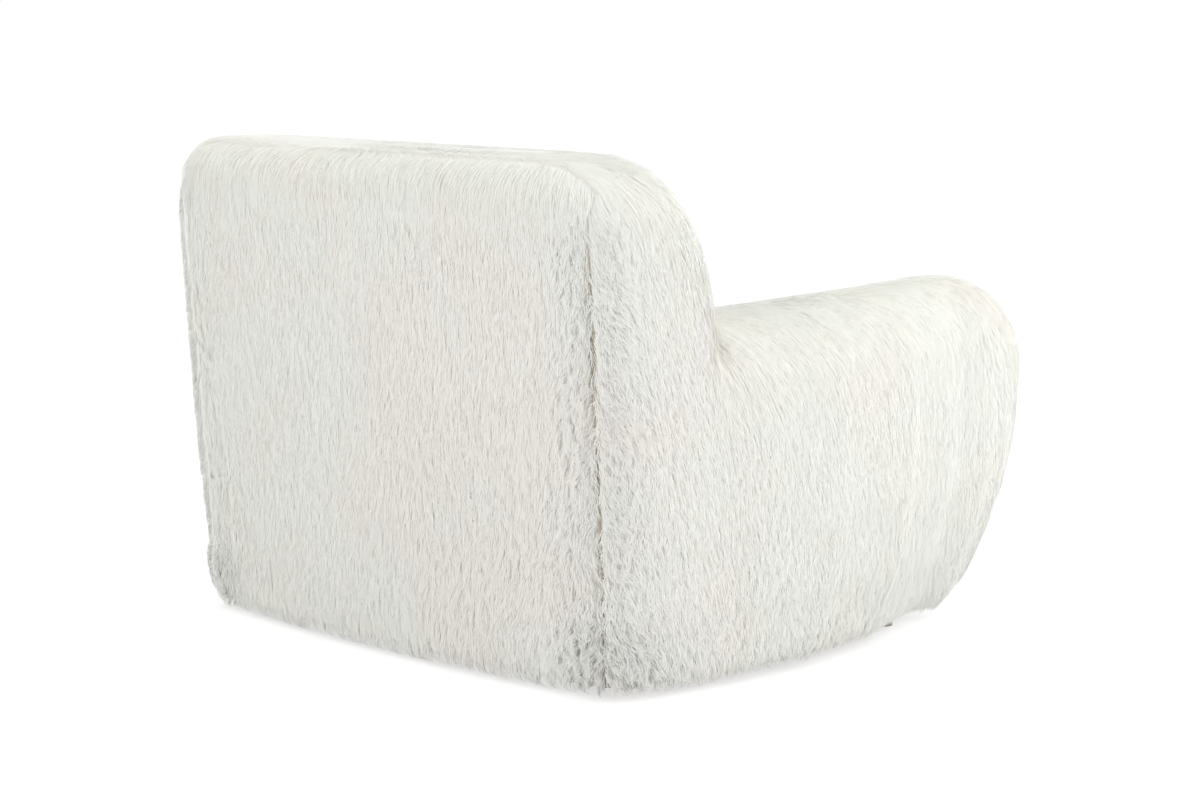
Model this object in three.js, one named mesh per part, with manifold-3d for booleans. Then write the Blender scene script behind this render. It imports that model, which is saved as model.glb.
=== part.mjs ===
// Lounge armchair upholstered in long-pile ivory fur, with a loose box cushion.
// Millimetres, +Z up, the sitter faces -Y. The origin is on the floor, under the middle of the chair.
// While it is being built, y = 0 is the line through the two rear corners at the floor.
import * as THREE from "three";
import { mergeVertices } from "three/addons/utils/BufferGeometryUtils.js";
import Module from "manifold-3d";

const wasm = await Module();
wasm.setup();

// Driving dimensions of the outer form
const chairHeight = 770; // floor to the top of the back
const armHeight = 538; // floor to the crest of an arm
const armRise = 19; // how much the crest rises towards the front
const innerHalfWidth = 305; // centre line to the inner face of an arm
const armWidth = 205; // width of an arm where it is widest, at the hem
const sideWidestSetback = 224; // rear corner to the widest point of the side
const sideFrontDrawIn = 133; // how far the side draws in from there to the nose of an arm
const sideBelly = 35; // how far the side swells outwards above the hem
const sideBellyHeight = 350; // height of the full swell
const armFrontBelly = 66; // how much more it swells at the front of the arm
const rearDrawIn = 65; // how far a rear corner lies inside the widest point of the side
const backRake = 60; // how far the outside back leans, floor to top
const backBow = 30; // how far the outside back bows out behind its corners
const backBowPower = 2.35; // shape of that bow, flatter in the middle as it grows
const backEdgeRadius = 38; // round edge all round the outside back
const backTopFall = 81; // depth of the round front edge of the back's top
const backTopFullness = 2.21; // superellipse power of that edge, 2 is round
const backRecline = 16; // degrees that the inside back leans
const shoulderLean = 30; // how far the sections through a shoulder lean, floor to top
const insideBackSetback = 158; // rear corner to the inside back, at the crest of the arms
const armRollHeight = 115; // height of the rolled top of the arms and shoulders
const armNoseStart = 742; // rear corner to where the arm's round front begins
const armNoseDepth = 202; // how far that front swells forward
const armNoseHeight = 375; // height of its foremost point
const armNoseFullness = 2.29; // superellipse power of the nose, 2 is round
const hemHeight = 4; // floor to the hem of the fur

// Driving dimensions of the seat
const deckHeight = 258; // floor to the deck under the cushion
const seatFrontSetback = 728; // rear corner to the front border, at the hem
const seatFrontSwell = 74; // how far the front border swells forward under the cushion
const seatFrontBow = 18; // how far it bows forward in the middle
const seatFrontRadius = 44; // round top edge of the front border
const deckClothThickness = 3; // cloth over the springs' pad

// Driving dimensions of the loose cushion
const cushionHeight = 150; // height of the cushion at its edge
const cushionCrown = 24; // how much higher it is in the middle
const cushionFrontSetback = 872; // rear corner to the front of the cushion
const cushionSideGap = 4; // gap to each arm
const cushionBackGap = 13; // gap to the inside back
const cushionCornerRadius = 62; // round corners in plan
const cushionDrawIn = 9; // how far the corners are drawn in by the seams
const cushionPanelDrop = 22; // edge of the cushion to the seam of its top or bottom panel
const cushionPuff = 12; // how far its sides swell between those seams
const zipEndGap = 10; // each end of the zip along the back to where the cushion's corner begins
const zipTapeHeight = 26;
const zipTapeThickness = 2;
const zipSliderLength = 22;
const zipSliderHeight = 11;
const zipSliderThickness = 5;
const zipPullLength = 26; // tab that hangs from the slider
const zipPullWidth = 7;

// Driving dimensions of the frame
const boardThickness = 28; // hardwood and plywood boards
const railFoot = 20; // floor to the underside of the base rails
const railTop = 210; // floor to the top of the base rails
const sideFoam = 24; // foam between the cover and the base rails
const boardInset = 30; // outside of the fur to the edge of an arm's front board
const postWidth = 45;
const postDepth = 70; // depth of a rear post at the seat
const postTopDepth = 50; // depth of it at the top
const postTopDrop = 80; // top of the back to the top of a rear post
const postFoam = 32; // foam behind the top of a post
const armRailWidth = 90;
const armPad = 40; // foam over an arm rail
const slatThickness = 18; // upright slat halfway along an arm
const slatWidth = 60;
const slatSetback = 420; // rear corner to that slat
const backRailDepth = 80; // height of each cross rail in the back
const backRailSetIn = 8; // cross rails lie this far inside the posts' rear edge
const lowerBackRail = 300; // floor to the underside of the lower one
const webbingWidth = 52;
const webbingThickness = 2.5;
const webbingSpacing = 170;
const dustCoverThickness = 2;
const dustCoverMargin = 9; // edge of the rails to the edge of the dust cover
const glideRadius = 16;
const glideNailRadius = 2.2;
const glideNailLength = 26;
const glideSpread = 1.25; // foot of a glide is this many times wider than its top

// Driving dimensions of the seat springs
const springCount = 5;
const springSpacing = 108;
const springWireRadius = 2;
const springHalfWidth = 26; // centre line of a spring to its bends
const springPitch = 31; // one run of wire to the next
const clipWidth = 22;
const clipThickness = 1.5;
const clipRun = 7; // length of a clip's flat foot

// Layers, from the outside in
const coverThickness = 12; // fur and its backing
const fit = 0.3; // clearance between pieces that touch
const seam = 0.5; // gap between two sewn panels

const overrun = 60; // how far a cutting tool runs past what it cuts
const rad = THREE.MathUtils.degToRad;

const sideHalfWidth = innerHalfWidth + armWidth; // centre line to the widest point of a side, at the hem
const rearHalfWidth = sideHalfWidth - rearDrawIn; // centre line to a rear corner
const frontWidthShare = 1 - sideFrontDrawIn / sideHalfWidth;
const sideArcLength = (armNoseStart - sideWidestSetback) / Math.sqrt(1 - frontWidthShare ** 2);
const postTop = chairHeight - postTopDrop;

const seamDepth = 26; // outside back to the seam over its top
const cornerSeamInset = 20; // widest point of a rear corner, at the hem, to the seam down it
const cornerSeamSpread = 18; // how much further out that seam stands at the top
const shoulderSeamInset = 30; // crest of a shoulder to the seam of the inside back
const innerPanelRun = 40; // how far an inside arm panel runs on along the nose
const buriedWidth = 60; // width of the part of a shoulder that runs on inside the back
const buriedDepth = 8; // how far inside the back that part stays
const slabHalfWidth = (innerHalfWidth + rearHalfWidth + sideBelly) / 2; // centre line to a shoulder's crest

// Facet counts
const rollSteps = 8; // facets over the rolled top of an arm
const noseSteps = 5; // rings round the front of an arm
const fallSteps = 5; // facets down the round front edge of the back
const edgeSteps = 3; // facets round the edge of the outside back
const slabSteps = 8; // facets across the outside back
const borderSteps = 6; // facets across the front border
const railSteps = 7; // facets along a curved side rail
const cornerSteps = 4; // facets round a corner of the cushion
const sideSteps = 5; // facets along a side of the cushion
const crownSteps = 4; // rings from the edge of the cushion to its middle
const wireSides = 5; // facets round a spring's wire
const bendSteps = 3; // facets round a spring's bend
const curlSteps = 5; // facets round a clip's curl
const roundSides = 16; // facets round a glide
const puffShares = [0.25, 0.5, 0.75]; // rings between the cushion's seams
const noseTipShare = 0.25; // how far short of the tip the last ring of the nose stays, in steps

// A closed body from rings of points, each ring running the same way round
function loft(rings, lastCentre) {
  const count = rings[0].length;
  const positions = rings.flat().flatMap((point) => point.toArray());
  const indices = [];
  for (let row = 0; row < rings.length - 1; row += 1) {
    for (let column = 0; column < count; column += 1) {
      const next = (column + 1) % count;
      const a = row * count + column;
      const b = row * count + next;
      const c = (row + 1) * count + column;
      const d = (row + 1) * count + next;
      indices.push(a, b, d, a, d, c);
    }
  }
  const middleOf = (ring) => {
    const sum = ring.reduce((total, point) => total.add(point), new THREE.Vector3());
    return sum.divideScalar(count);
  };
  const addCap = (middle, row, flip) => {
    const centre = positions.length / middle.toArray().length;
    positions.push(...middle.toArray());
    for (let column = 0; column < count; column += 1) {
      const next = (column + 1) % count;
      const pair = flip ? [next, column] : [column, next];
      indices.push(centre, ...pair.map((place) => row * count + place));
    }
  };
  addCap(middleOf(rings[0]), 0, true);
  addCap(lastCentre ?? middleOf(rings.at(-1)), rings.length - 1, false);
  return solidFrom(positions, indices);
}

function solidFrom(positions, indices) {
  const geometry = new THREE.BufferGeometry();
  geometry.setAttribute("position", new THREE.Float32BufferAttribute(positions, 3));
  geometry.setIndex(indices);
  return solidOf(geometry);
}

// The exact solid of a three.js geometry, turned right side out
function solidOf(geometry) {
  const bare = geometry.clone();
  bare.deleteAttribute("normal");
  bare.deleteAttribute("uv");
  const merged = mergeVertices(bare, 1e-4);
  const vertProperties = new Float32Array(merged.attributes.position.array);
  const triVerts = new Uint32Array(merged.index.array);
  const points = (corner) => new THREE.Vector3().fromArray(vertProperties, 3 * triVerts[corner]);
  let volume = 0;
  for (let corner = 0; corner < triVerts.length; corner += 3) {
    volume += points(corner).dot(points(corner + 1).cross(points(corner + 2)));
  }
  if (volume < 0) {
    triVerts.reverse();
  }
  return new wasm.Manifold(new wasm.Mesh({ numProp: 3, vertProperties, triVerts }));
}

// Half width of the side in plan, at the hem: an arc of an ellipse
function planHalfWidth(y) {
  const along = (-y - sideWidestSetback) / sideArcLength;
  return sideHalfWidth * Math.sqrt(1 - along * along);
}

// Swell of the side above the hem, which grows towards the front of the arm
function bellyAt(y, z) {
  const away = (z - sideBellyHeight) / (sideBellyHeight - hemHeight);
  const fade = away < 0 ? 1 - away * away : 1;
  return (sideBelly + armFrontBelly * armShareAt(y)) * fade;
}

// Depth of the outside back at a point across it and up it
function rearAt(x, z) {
  const bow = 1 - (Math.abs(x) / rearHalfWidth) ** backBowPower;
  return (backRake * z) / chairHeight + backBow * bow;
}

// The inside back leans away from the sitter
function insideBackAt(z) {
  return -insideBackSetback - (armHeight - z) * Math.tan(rad(backRecline));
}

// A quarter of a superellipse, from (1, 0) to (0, 1)
function quarter(step, steps, fullness) {
  const angle = (Math.PI / 2) * (step / steps);
  return { across: Math.cos(angle) ** (2 / fullness), up: Math.sin(angle) ** (2 / fullness) };
}

// A face's place at the foot: it runs on straight below its first level, at any height
function atFoot(placeAt, firstLevel, z) {
  const share = (z - hemHeight) / (firstLevel - hemHeight);
  return THREE.MathUtils.lerp(placeAt(hemHeight), placeAt(firstLevel), share);
}

// How far along the arm a place is, from 0 at the back to 1 at the nose
function armShareAt(y) {
  return THREE.MathUtils.clamp((-y - insideBackSetback) / (armNoseStart - insideBackSetback), 0, 1);
}

// Where the round front edge of the back meets its flat top
const crestStart = backTopFall - insideBackSetback;

// One cross section of a wing, at a place along it
// inset draws it in all round, floor is its lowest height, buried leaves only the outer half in view
function wingSection(y, top, inset, floor, buried = false) {
  const spring = top - armRollHeight;
  const outerAt = (z) => planHalfWidth(y) + bellyAt(y, z) - inset;
  const crest = buried ? slabHalfWidth : (innerHalfWidth + inset + outerAt(spring)) / 2;
  const inner = buried ? crest - buriedWidth : innerHalfWidth + inset;
  const heightShares = [0.12, 0.34, 0.6, 0.84];
  const levels = heightShares.map((share) => (armHeight - armRollHeight) * share);
  const outerFace = levels.map((z) => ({ x: outerAt(z), z }));
  outerFace.unshift({ x: atFoot(outerAt, levels[0], floor), z: floor });
  const rolledTop = [];
  for (let step = 0; step <= rollSteps; step += 1) {
    const angle = Math.PI * (step / rollSteps);
    const sideways = Math.cos(angle) > 0 ? outerAt(spring) - crest : crest - inner;
    rolledTop.push({
      x: crest + sideways * Math.cos(angle),
      z: spring + (armRollHeight - inset) * Math.sin(angle),
    });
  }
  const innerFace = [0.5, 0].map((share) => ({ x: inner, z: floor + (spring - floor) * share }));
  return [...outerFace, ...rolledTop, ...innerFace];
}

// An arm and its shoulder, from the nose to the outside back
function wing(inset, floor, openBelow = 0) {
  const rings = [];
  const noseDepth = armNoseDepth - inset;
  for (let step = noseSteps; step >= 1; step -= 1) {
    const turn = quarter(step - noseTipShare * (step === noseSteps), noseSteps, armNoseFullness);
    const section = wingSection(-armNoseStart, armHeight + armRise, inset, floor);
    const centre = (Math.max(...section.map(({ x }) => x)) + innerHalfWidth + inset) / 2;
    const y = -armNoseStart - noseDepth * turn.up;
    rings.push(
      section.map(({ x, z }) => {
        const drawn = centre + (x - centre) * turn.across;
        return new THREE.Vector3(drawn, y, armNoseHeight + (z - armNoseHeight) * turn.across);
      }),
    );
  }
  const straightShares = [1, 0.7, 0.4, 0.15];
  for (const share of straightShares) {
    const y = -insideBackSetback - (armNoseStart - insideBackSetback) * share;
    const section = wingSection(y, armHeight + armRise * armShareAt(y), inset, floor - openBelow);
    rings.push(section.map(({ x, z }) => new THREE.Vector3(x, y, z)));
  }
  for (let step = 0; step <= fallSteps; step += 1) {
    const turn = quarter(step, fallSteps, backTopFullness);
    const y = crestStart - backTopFall * turn.across + inset;
    const top = armHeight + (chairHeight - armHeight) * turn.up;
    const section = wingSection(y, top, inset, floor - openBelow, step > 0);
    const leanAt = (z) => (shoulderLean * (z - top)) / chairHeight;
    rings.push(section.map(({ x, z }) => new THREE.Vector3(x, y + leanAt(z), z)));
  }
  const radius = backEdgeRadius - inset;
  const cornerWidth = planHalfWidth(0) + sideBelly - inset - slabHalfWidth;
  for (let step = 0; step <= edgeSteps; step += 1) {
    const turn = quarter(step, edgeSteps, 2);
    const draw = radius * (1 - turn.across);
    const depth = radius * (1 - turn.up);
    rings.push(
      wingSection(0, chairHeight - draw, inset, floor - openBelow, true).map(({ x, z }) => {
        const hidden = x < slabHalfWidth;
        const drawn = hidden ? x : x - (draw * (x - slabHalfWidth)) / cornerWidth;
        return new THREE.Vector3(drawn, rearAt(drawn, z) - inset - depth - (hidden ? buriedDepth : 0), z);
      }),
    );
  }
  const capHeight = chairHeight / 2;
  const capDepth = rearAt(slabHalfWidth, capHeight) - inset - fit;
  return loft(rings, new THREE.Vector3(slabHalfWidth - fit, capDepth, capHeight));
}

// The back between the shoulders, from the outside back to the inside back
function slab(inset, floor) {
  const rings = [];
  const radius = backEdgeRadius - inset;
  const top = chairHeight - inset;
  const rearShares = [0, 0.35, 0.7];
  for (let step = 0; step <= slabSteps; step += 1) {
    const x = slabHalfWidth * ((2 * step) / slabSteps - 1);
    const ring = rearShares.map((share) => {
      const z = floor + (top - radius - floor) * share;
      return new THREE.Vector3(x, rearAt(x, z) - inset, z);
    });
    for (let bend = 0; bend <= edgeSteps; bend += 1) {
      const turn = quarter(bend, edgeSteps, 2);
      const z = top - radius * (1 - turn.up);
      ring.push(new THREE.Vector3(x, rearAt(x, z) - inset - radius * (1 - turn.across), z));
    }
    for (let bend = fallSteps; bend >= 0; bend -= 1) {
      const turn = quarter(bend, fallSteps, backTopFullness);
      const y = crestStart - backTopFall * turn.across + inset;
      ring.push(new THREE.Vector3(x, y, armHeight - inset + (chairHeight - armHeight) * turn.up));
    }
    ring.push(new THREE.Vector3(x, insideBackAt(deckHeight) + inset, deckHeight));
    ring.push(new THREE.Vector3(x, insideBackAt(deckHeight) + inset, floor));
    rings.push(ring);
  }
  return loft(rings);
}

// Swell of the front border at a height
function borderSwellAt(z) {
  const share = (z - hemHeight) / (deckHeight - seatFrontRadius - hemHeight);
  return seatFrontSwell * Math.sin((Math.PI / 2) * share);
}

// The seat under the cushion, between the arms
function seatBlock(inset, floor) {
  const rings = [];
  const halfWidth = innerHalfWidth + coverThickness;
  const radius = seatFrontRadius - inset;
  const top = deckHeight - inset;
  const levelShares = [0.75, 0.48, 0.22];
  const levels = levelShares.map((share) => (top - radius) * share);
  for (let step = 0; step <= borderSteps; step += 1) {
    const x = halfWidth * ((2 * step) / borderSteps - 1);
    const bow = seatFrontBow * (1 - (x / halfWidth) ** 2);
    const ring = [new THREE.Vector3(x, -insideBackSetback, floor)];
    ring.push(new THREE.Vector3(x, -insideBackSetback, top));
    for (let bend = 0; bend <= edgeSteps; bend += 1) {
      const turn = quarter(edgeSteps - bend, edgeSteps, 2);
      const y = -seatFrontSetback - seatFrontSwell - bow + inset + radius * (1 - turn.across);
      ring.push(new THREE.Vector3(x, y, top - radius * (1 - turn.up)));
    }
    const frontAt = (z) => -seatFrontSetback - bow - borderSwellAt(z) + inset;
    ring.push(...levels.map((z) => new THREE.Vector3(x, frontAt(z), z)));
    ring.push(new THREE.Vector3(x, atFoot(frontAt, levels.at(-1), floor), floor));
    rings.push(ring);
  }
  return loft(rings);
}

// Everything inside a depth below the fur's surface
function outerForm(inset, floor, openBelow = 0) {
  const arm = wing(inset, floor, openBelow);
  return arm
    .add(arm.mirror([1, 0, 0]))
    .add(slab(inset, floor - openBelow))
    .add(seatBlock(inset, floor - openBelow));
}

// Everything behind a surface that runs parallel to the outside back
function behindBack(depth) {
  const rings = [];
  const reach = sideHalfWidth + sideBelly + armFrontBelly + overrun;
  const low = -overrun;
  const high = chairHeight + overrun;
  const far = backRake + backBow + overrun;
  const steps = 2 * slabSteps;
  for (let step = 0; step <= steps; step += 1) {
    const x = reach * ((2 * step) / steps - 1);
    rings.push([
      new THREE.Vector3(x, rearAt(x, low) - depth, low),
      new THREE.Vector3(x, rearAt(x, high) - depth, high),
      new THREE.Vector3(x, far, high),
      new THREE.Vector3(x, far, low),
    ]);
  }
  return loft(rings);
}

// Everything between the two seams down the rear corners
function betweenCorners(gap) {
  const reach = armNoseStart + armNoseDepth;
  const signs = [[-1, -1], [1, -1], [1, 1], [-1, 1]];
  const ringAt = (z) => {
    const halfWidth = planHalfWidth(0) - cornerSeamInset + (cornerSeamSpread * z) / chairHeight + gap;
    return signs.map(([side, end]) => new THREE.Vector3(side * halfWidth, end * reach, z));
  };
  return loft([ringAt(-overrun), ringAt(chairHeight + overrun)]);
}

function box(low, high) {
  const size = high.map((value, axis) => value - low[axis]);
  const middle = high.map((value, axis) => (value + low[axis]) / 2);
  return solidOf(new THREE.BoxGeometry(...size).translate(...middle));
}

// A board from an outline of [x, y] points, standing between two heights
function boardUp(outline, low, high) {
  const shape = new THREE.Shape(outline.map(([x, y]) => new THREE.Vector2(x, y)));
  const geometry = new THREE.ExtrudeGeometry(shape, { depth: high - low, bevelEnabled: false });
  return solidOf(geometry.translate(0, 0, low));
}

// A board from an outline of [y, z] points, lying between two places across the chair
function boardAcross(outline, left, right) {
  const shape = new THREE.Shape(outline.map(([y, z]) => new THREE.Vector2(y, z)));
  const geometry = new THREE.ExtrudeGeometry(shape, { depth: right - left, bevelEnabled: false });
  const turned = new THREE.Matrix4().makeBasis(
    new THREE.Vector3(0, 1, 0),
    new THREE.Vector3(0, 0, 1),
    new THREE.Vector3(1, 0, 0),
  );
  return solidOf(geometry.applyMatrix4(turned).translate(left, 0, 0));
}

// A tube of wire along points that lie nearly level
function wireAlong(points, radius, sides) {
  const up = new THREE.Vector3(0, 0, 1);
  const rings = points.map((point, index) => {
    const before = points[Math.max(index - 1, 0)];
    const after = points[Math.min(index + 1, points.length - 1)];
    const along = after.clone().sub(before).normalize();
    const across = along.clone().cross(up).normalize();
    const above = across.clone().cross(along);
    return Array.from({ length: sides }, (_, side) => {
      const angle = (2 * Math.PI * side) / sides;
      return point
        .clone()
        .addScaledVector(across, radius * Math.cos(angle))
        .addScaledVector(above, radius * Math.sin(angle));
    });
  });
  return loft(rings);
}

const chair = new THREE.Group();

function addPiece(name, solid, material) {
  const mesh = solid.getMesh();
  const geometry = new THREE.BufferGeometry();
  geometry.setAttribute("position", new THREE.Float32BufferAttribute(mesh.vertProperties, 3));
  geometry.setIndex(new THREE.Uint32BufferAttribute(mesh.triVerts, 1));
  geometry.computeVertexNormals();
  const node = new THREE.Mesh(geometry, material);
  node.name = name;
  chair.add(node);
}

function addPair(name, solid, material) {
  addPiece(`left_${name}`, solid, material);
  addPiece(`right_${name}`, solid.mirror([1, 0, 0]), material);
}

const finish = (color, roughness, metalness = 0) =>
  new THREE.MeshStandardMaterial({ color, roughness, metalness });
const ivoryFur = finish(0xeeece4, 0.95);
const foam = finish(0xe9e2c0, 0.9);
const hardwood = finish(0xc9a873, 0.7);
const springSteel = finish(0x9a9c9e, 0.4, 0.9);
const blackCloth = finish(0x26262a, 0.95);
const webbingCloth = finish(0x8c6f45, 0.9);
const deckCloth = finish(0xd8d4c8, 0.95);
const zipCloth = finish(0xe4e0d4, 0.9);
const nylon = finish(0x2b2622, 0.5);
const zinc = finish(0xb7b3aa, 0.35, 0.9);

// Planes that the layers share
const padTop = deckHeight - deckClothThickness - fit;
const frontRailFront = -(seatFrontSetback - coverThickness - 2 * fit);
const frontRailRear = frontRailFront + boardThickness;
const railInset = coverThickness + sideFoam;
const rearRailRear = -railInset;
const rearRailFront = rearRailRear - boardThickness;
const backFoot = insideBackAt(deckHeight);
const foamInset = coverThickness + seam;
const foamFace = innerHalfWidth + foamInset;
const borderTopSetback = seatFrontSetback + seatFrontSwell - seatFrontRadius;
const reach = armNoseStart + armNoseDepth; // as far as any piece lies from the centre line

// Covers: one skin of fur, cut into its panels along the seams
const skin = outerForm(0, hemHeight).subtract(outerForm(coverThickness, hemHeight, overrun));
const backPanelSpace = (gap) => behindBack(seamDepth + gap).intersect(betweenCorners(gap));
const outsideBack = skin.intersect(backPanelSpace(0));
const skinBeforeBack = skin.subtract(backPanelSpace(seam));
const insideBackHalfWidth = slabHalfWidth - shoulderSeamInset;
const acrossMiddle = (halfWidth) => box([-halfWidth, -reach, -overrun], [halfWidth, reach, reach]);
const underDeck = box([-reach, -reach, -overrun], [reach, reach, deckHeight + fit]);
const insideBack = skinBeforeBack
  .intersect(slab(0, hemHeight))
  .intersect(acrossMiddle(insideBackHalfWidth))
  .subtract(underDeck);
const backWithSeam = slab(-seam, hemHeight - overrun).intersect(acrossMiddle(insideBackHalfWidth + seam));
const skinBesideBack = skinBeforeBack.subtract(backWithSeam);

// The part of the skin inside the mouth of the seat, grown on every side by a gap
function insidePanelSpace(gap) {
  return box(
    [innerHalfWidth - overrun, -armNoseStart - innerPanelRun - gap, deckHeight + fit - gap],
    [innerHalfWidth + coverThickness + gap, -coverThickness, armHeight - armRollHeight + gap],
  );
}
const insideArm = skinBesideBack.intersect(insidePanelSpace(0));
const seatMouth = box([-innerHalfWidth, -reach, -overrun], [innerHalfWidth, 0, deckHeight + seam]);
const deckSpace = box(
  [-foamFace - fit, -borderTopSetback, deckHeight - coverThickness - fit],
  [foamFace + fit, 0, deckHeight + fit],
);
const borderHalfWidth = innerHalfWidth - seam;
const borderPanelSpace = box([-borderHalfWidth, -reach, -overrun], [borderHalfWidth, 0, deckHeight + seam]);
const borderPanel = skinBesideBack.intersect(borderPanelSpace).subtract(deckSpace);
const leftHalf = box([0, -reach, -overrun], [reach, reach, reach + overrun]);
const outsideArm = skinBesideBack
  .intersect(leftHalf)
  .subtract(insidePanelSpace(seam))
  .subtract(seatMouth)
  .subtract(deckSpace);

addPiece("outside_back_cover", outsideBack, ivoryFur);
addPiece("inside_back_cover", insideBack, ivoryFur);
addPair("outside_arm_cover", outsideArm, ivoryFur);
addPair("inside_arm_cover", insideArm, ivoryFur);
addPiece("front_border_cover", borderPanel, ivoryFur);

// The cloth deck lies on its pad, between the inside panels
const deckCover = box(
  [-foamFace + fit, -borderTopSetback + fit, padTop + fit],
  [foamFace - fit, backFoot + coverThickness, deckHeight],
);
addPiece("deck_cloth", deckCover, deckCloth);

// Base frame of boards
// Outline in plan of a side rail, curved like the hem; grow makes it thicker for cutting foam
const railInnerAt = (y) => planHalfWidth(y) - railInset - boardThickness;
function sideRailOutline(grow) {
  const outer = [];
  const inner = [];
  const front = frontRailRear + fit - grow;
  for (let step = 0; step <= railSteps; step += 1) {
    const y = front + ((rearRailRear + grow - front) * step) / railSteps;
    outer.push([railInnerAt(y) + boardThickness + grow, y]);
    inner.unshift([railInnerAt(y) - grow, y]);
  }
  return [...outer, ...inner];
}
const sideRail = boardUp(sideRailOutline(0), railFoot, railTop);
const sideRailCut = boardUp(sideRailOutline(fit), railFoot - fit, railTop + fit);

// Everything under the top of the base rails and inside their outer faces
const coreCurve = sideRailOutline(fit).slice(0, railSteps + 1);
const coreOutline = [...coreCurve, ...coreCurve.map(([x, y]) => [-x, y]).reverse()];
const baseCore = boardUp(coreOutline, -overrun, railTop + fit);

// A rail that runs across between the side rails
function crossRail(front, rear) {
  const halfWidth = railInnerAt(rear) + boardThickness / 2;
  return box([-halfWidth, front, railFoot], [halfWidth, rear, railTop])
    .subtract(sideRailCut)
    .subtract(sideRailCut.mirror([1, 0, 0]));
}
const rearRail = crossRail(rearRailFront, rearRailRear);
const springRailRear = backFoot + coverThickness + fit + boardThickness / 2;
const springRail = crossRail(springRailRear - boardThickness, springRailRear);

// The board at the front of an arm, cut to the arm's own outline
function armBoard(grow) {
  const across = (y) => {
    const top = armHeight + armRise * armShareAt(frontRailFront);
    const section = wingSection(frontRailFront, top, boardInset - grow, railFoot - grow);
    return section.map(({ x, z }) => new THREE.Vector3(x, y, z));
  };
  return loft([across(frontRailFront - grow), across(frontRailRear + grow)]);
}
const boardFoot = innerHalfWidth + boardInset;
function frontRailGrown(grow) {
  const halfWidth = boardFoot - fit + grow;
  return box(
    [-halfWidth, frontRailFront - grow, railFoot - grow],
    [halfWidth, frontRailRear + grow, railTop + grow],
  );
}

// The rear post leans back above the seat
const postOuter = railInnerAt(rearRailFront) - fit;
const postRear = rearRailFront - fit;
const postTopRear = rearAt(postOuter, postTop) - coverThickness - postFoam;
const postShareAt = (z) => Math.max(0, (z - railTop) / (postTop - railTop));
const postRearAt = (z) => postRear + (postTopRear - postRear) * postShareAt(z);
const postFrontAt = (z) => postRearAt(z) - postDepth + (postDepth - postTopDepth) * postShareAt(z);
function rearPost(grow) {
  const outline = [
    [postFrontAt(railFoot) - grow, railFoot - grow],
    [postRearAt(railFoot) + grow, railFoot - grow],
    [postRearAt(railTop) + grow, railTop],
    [postRearAt(postTop) + grow, postTop + grow],
    [postFrontAt(postTop) - grow, postTop + grow],
    [postFrontAt(railTop) - grow, railTop],
  ];
  return boardAcross(outline, postOuter - postWidth - grow, postOuter + grow);
}

// The arm rail lies on the front board's ledge, the slat and the rear post
const armRailTop = armHeight - coverThickness - armPad;
const armRailFoot = armRailTop - boardThickness;
const armRailMiddle = postOuter - postWidth / 2;
function armRail(grow) {
  const half = armRailWidth / 2 + grow;
  return box(
    [armRailMiddle - half, frontRailRear + fit - grow, armRailFoot - grow],
    [armRailMiddle + half, postFrontAt(armRailFoot) - fit, armRailTop + grow],
  );
}
const slatMiddle = armRailMiddle + armRailWidth / 2 - slatThickness;
function armSlat(grow) {
  const half = slatThickness / 2 + grow;
  return box(
    [slatMiddle - half, -slatSetback - slatWidth / 2 - grow, railTop + fit - grow],
    [slatMiddle + half, -slatSetback + slatWidth / 2 + grow, armRailFoot - fit + grow],
  );
}

// Cross rails of the back, and the webbing strained between them
function backRail(foot, grow) {
  const rear = (z) => postRearAt(z) - backRailSetIn + grow;
  const front = (z) => postRearAt(z) - backRailSetIn - boardThickness - grow;
  const low = foot - grow;
  const high = foot + backRailDepth + grow;
  const outline = [[front(low), low], [rear(low), low], [rear(high), high], [front(high), high]];
  const halfWidth = postOuter - postWidth - fit;
  return boardAcross(outline, -halfWidth, halfWidth);
}
const topBackRail = postTop - backRailDepth;
function webbing(x, grow) {
  const rear = (z) => postRearAt(z) - backRailSetIn - boardThickness - fit + grow;
  const front = (z) => rear(z) - webbingThickness - 2 * grow;
  const low = lowerBackRail - grow;
  const outline = [[front(low), low], [rear(low), low], [rear(postTop), postTop], [front(postTop), postTop]];
  return boardAcross(outline, x - webbingWidth / 2 - grow, x + webbingWidth / 2 + grow);
}

// Glides carry the chair, each with a nail up into the frame
const glideSpots = [
  [boardFoot + glideRadius + fit, (frontRailFront + frontRailRear) / 2],
  [postOuter - postWidth / 2, postRear - postDepth / 2],
];
function glide([x, y], grow) {
  const foot = glideRadius;
  const top = glideRadius / glideSpread;
  const nail = glideNailRadius + grow;
  const profile = [
    [0, 0],
    [foot, 0],
    [foot, hemHeight],
    [top, railFoot - fit],
    [nail, railFoot - fit],
    [nail, railFoot + glideNailLength + grow],
    [0, railFoot + glideNailLength + grow],
  ].map(([radius, z]) => new THREE.Vector2(radius, z));
  return solidOf(new THREE.LatheGeometry(profile, roundSides).rotateX(Math.PI / 2).translate(x, y, 0));
}
const drilled = (solid) => {
  const cuts = glideSpots.flatMap(([x, y]) => [glide([x, y], fit), glide([-x, y], fit)]);
  return cuts.reduce((rest, cut) => rest.subtract(cut), solid);
};

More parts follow.
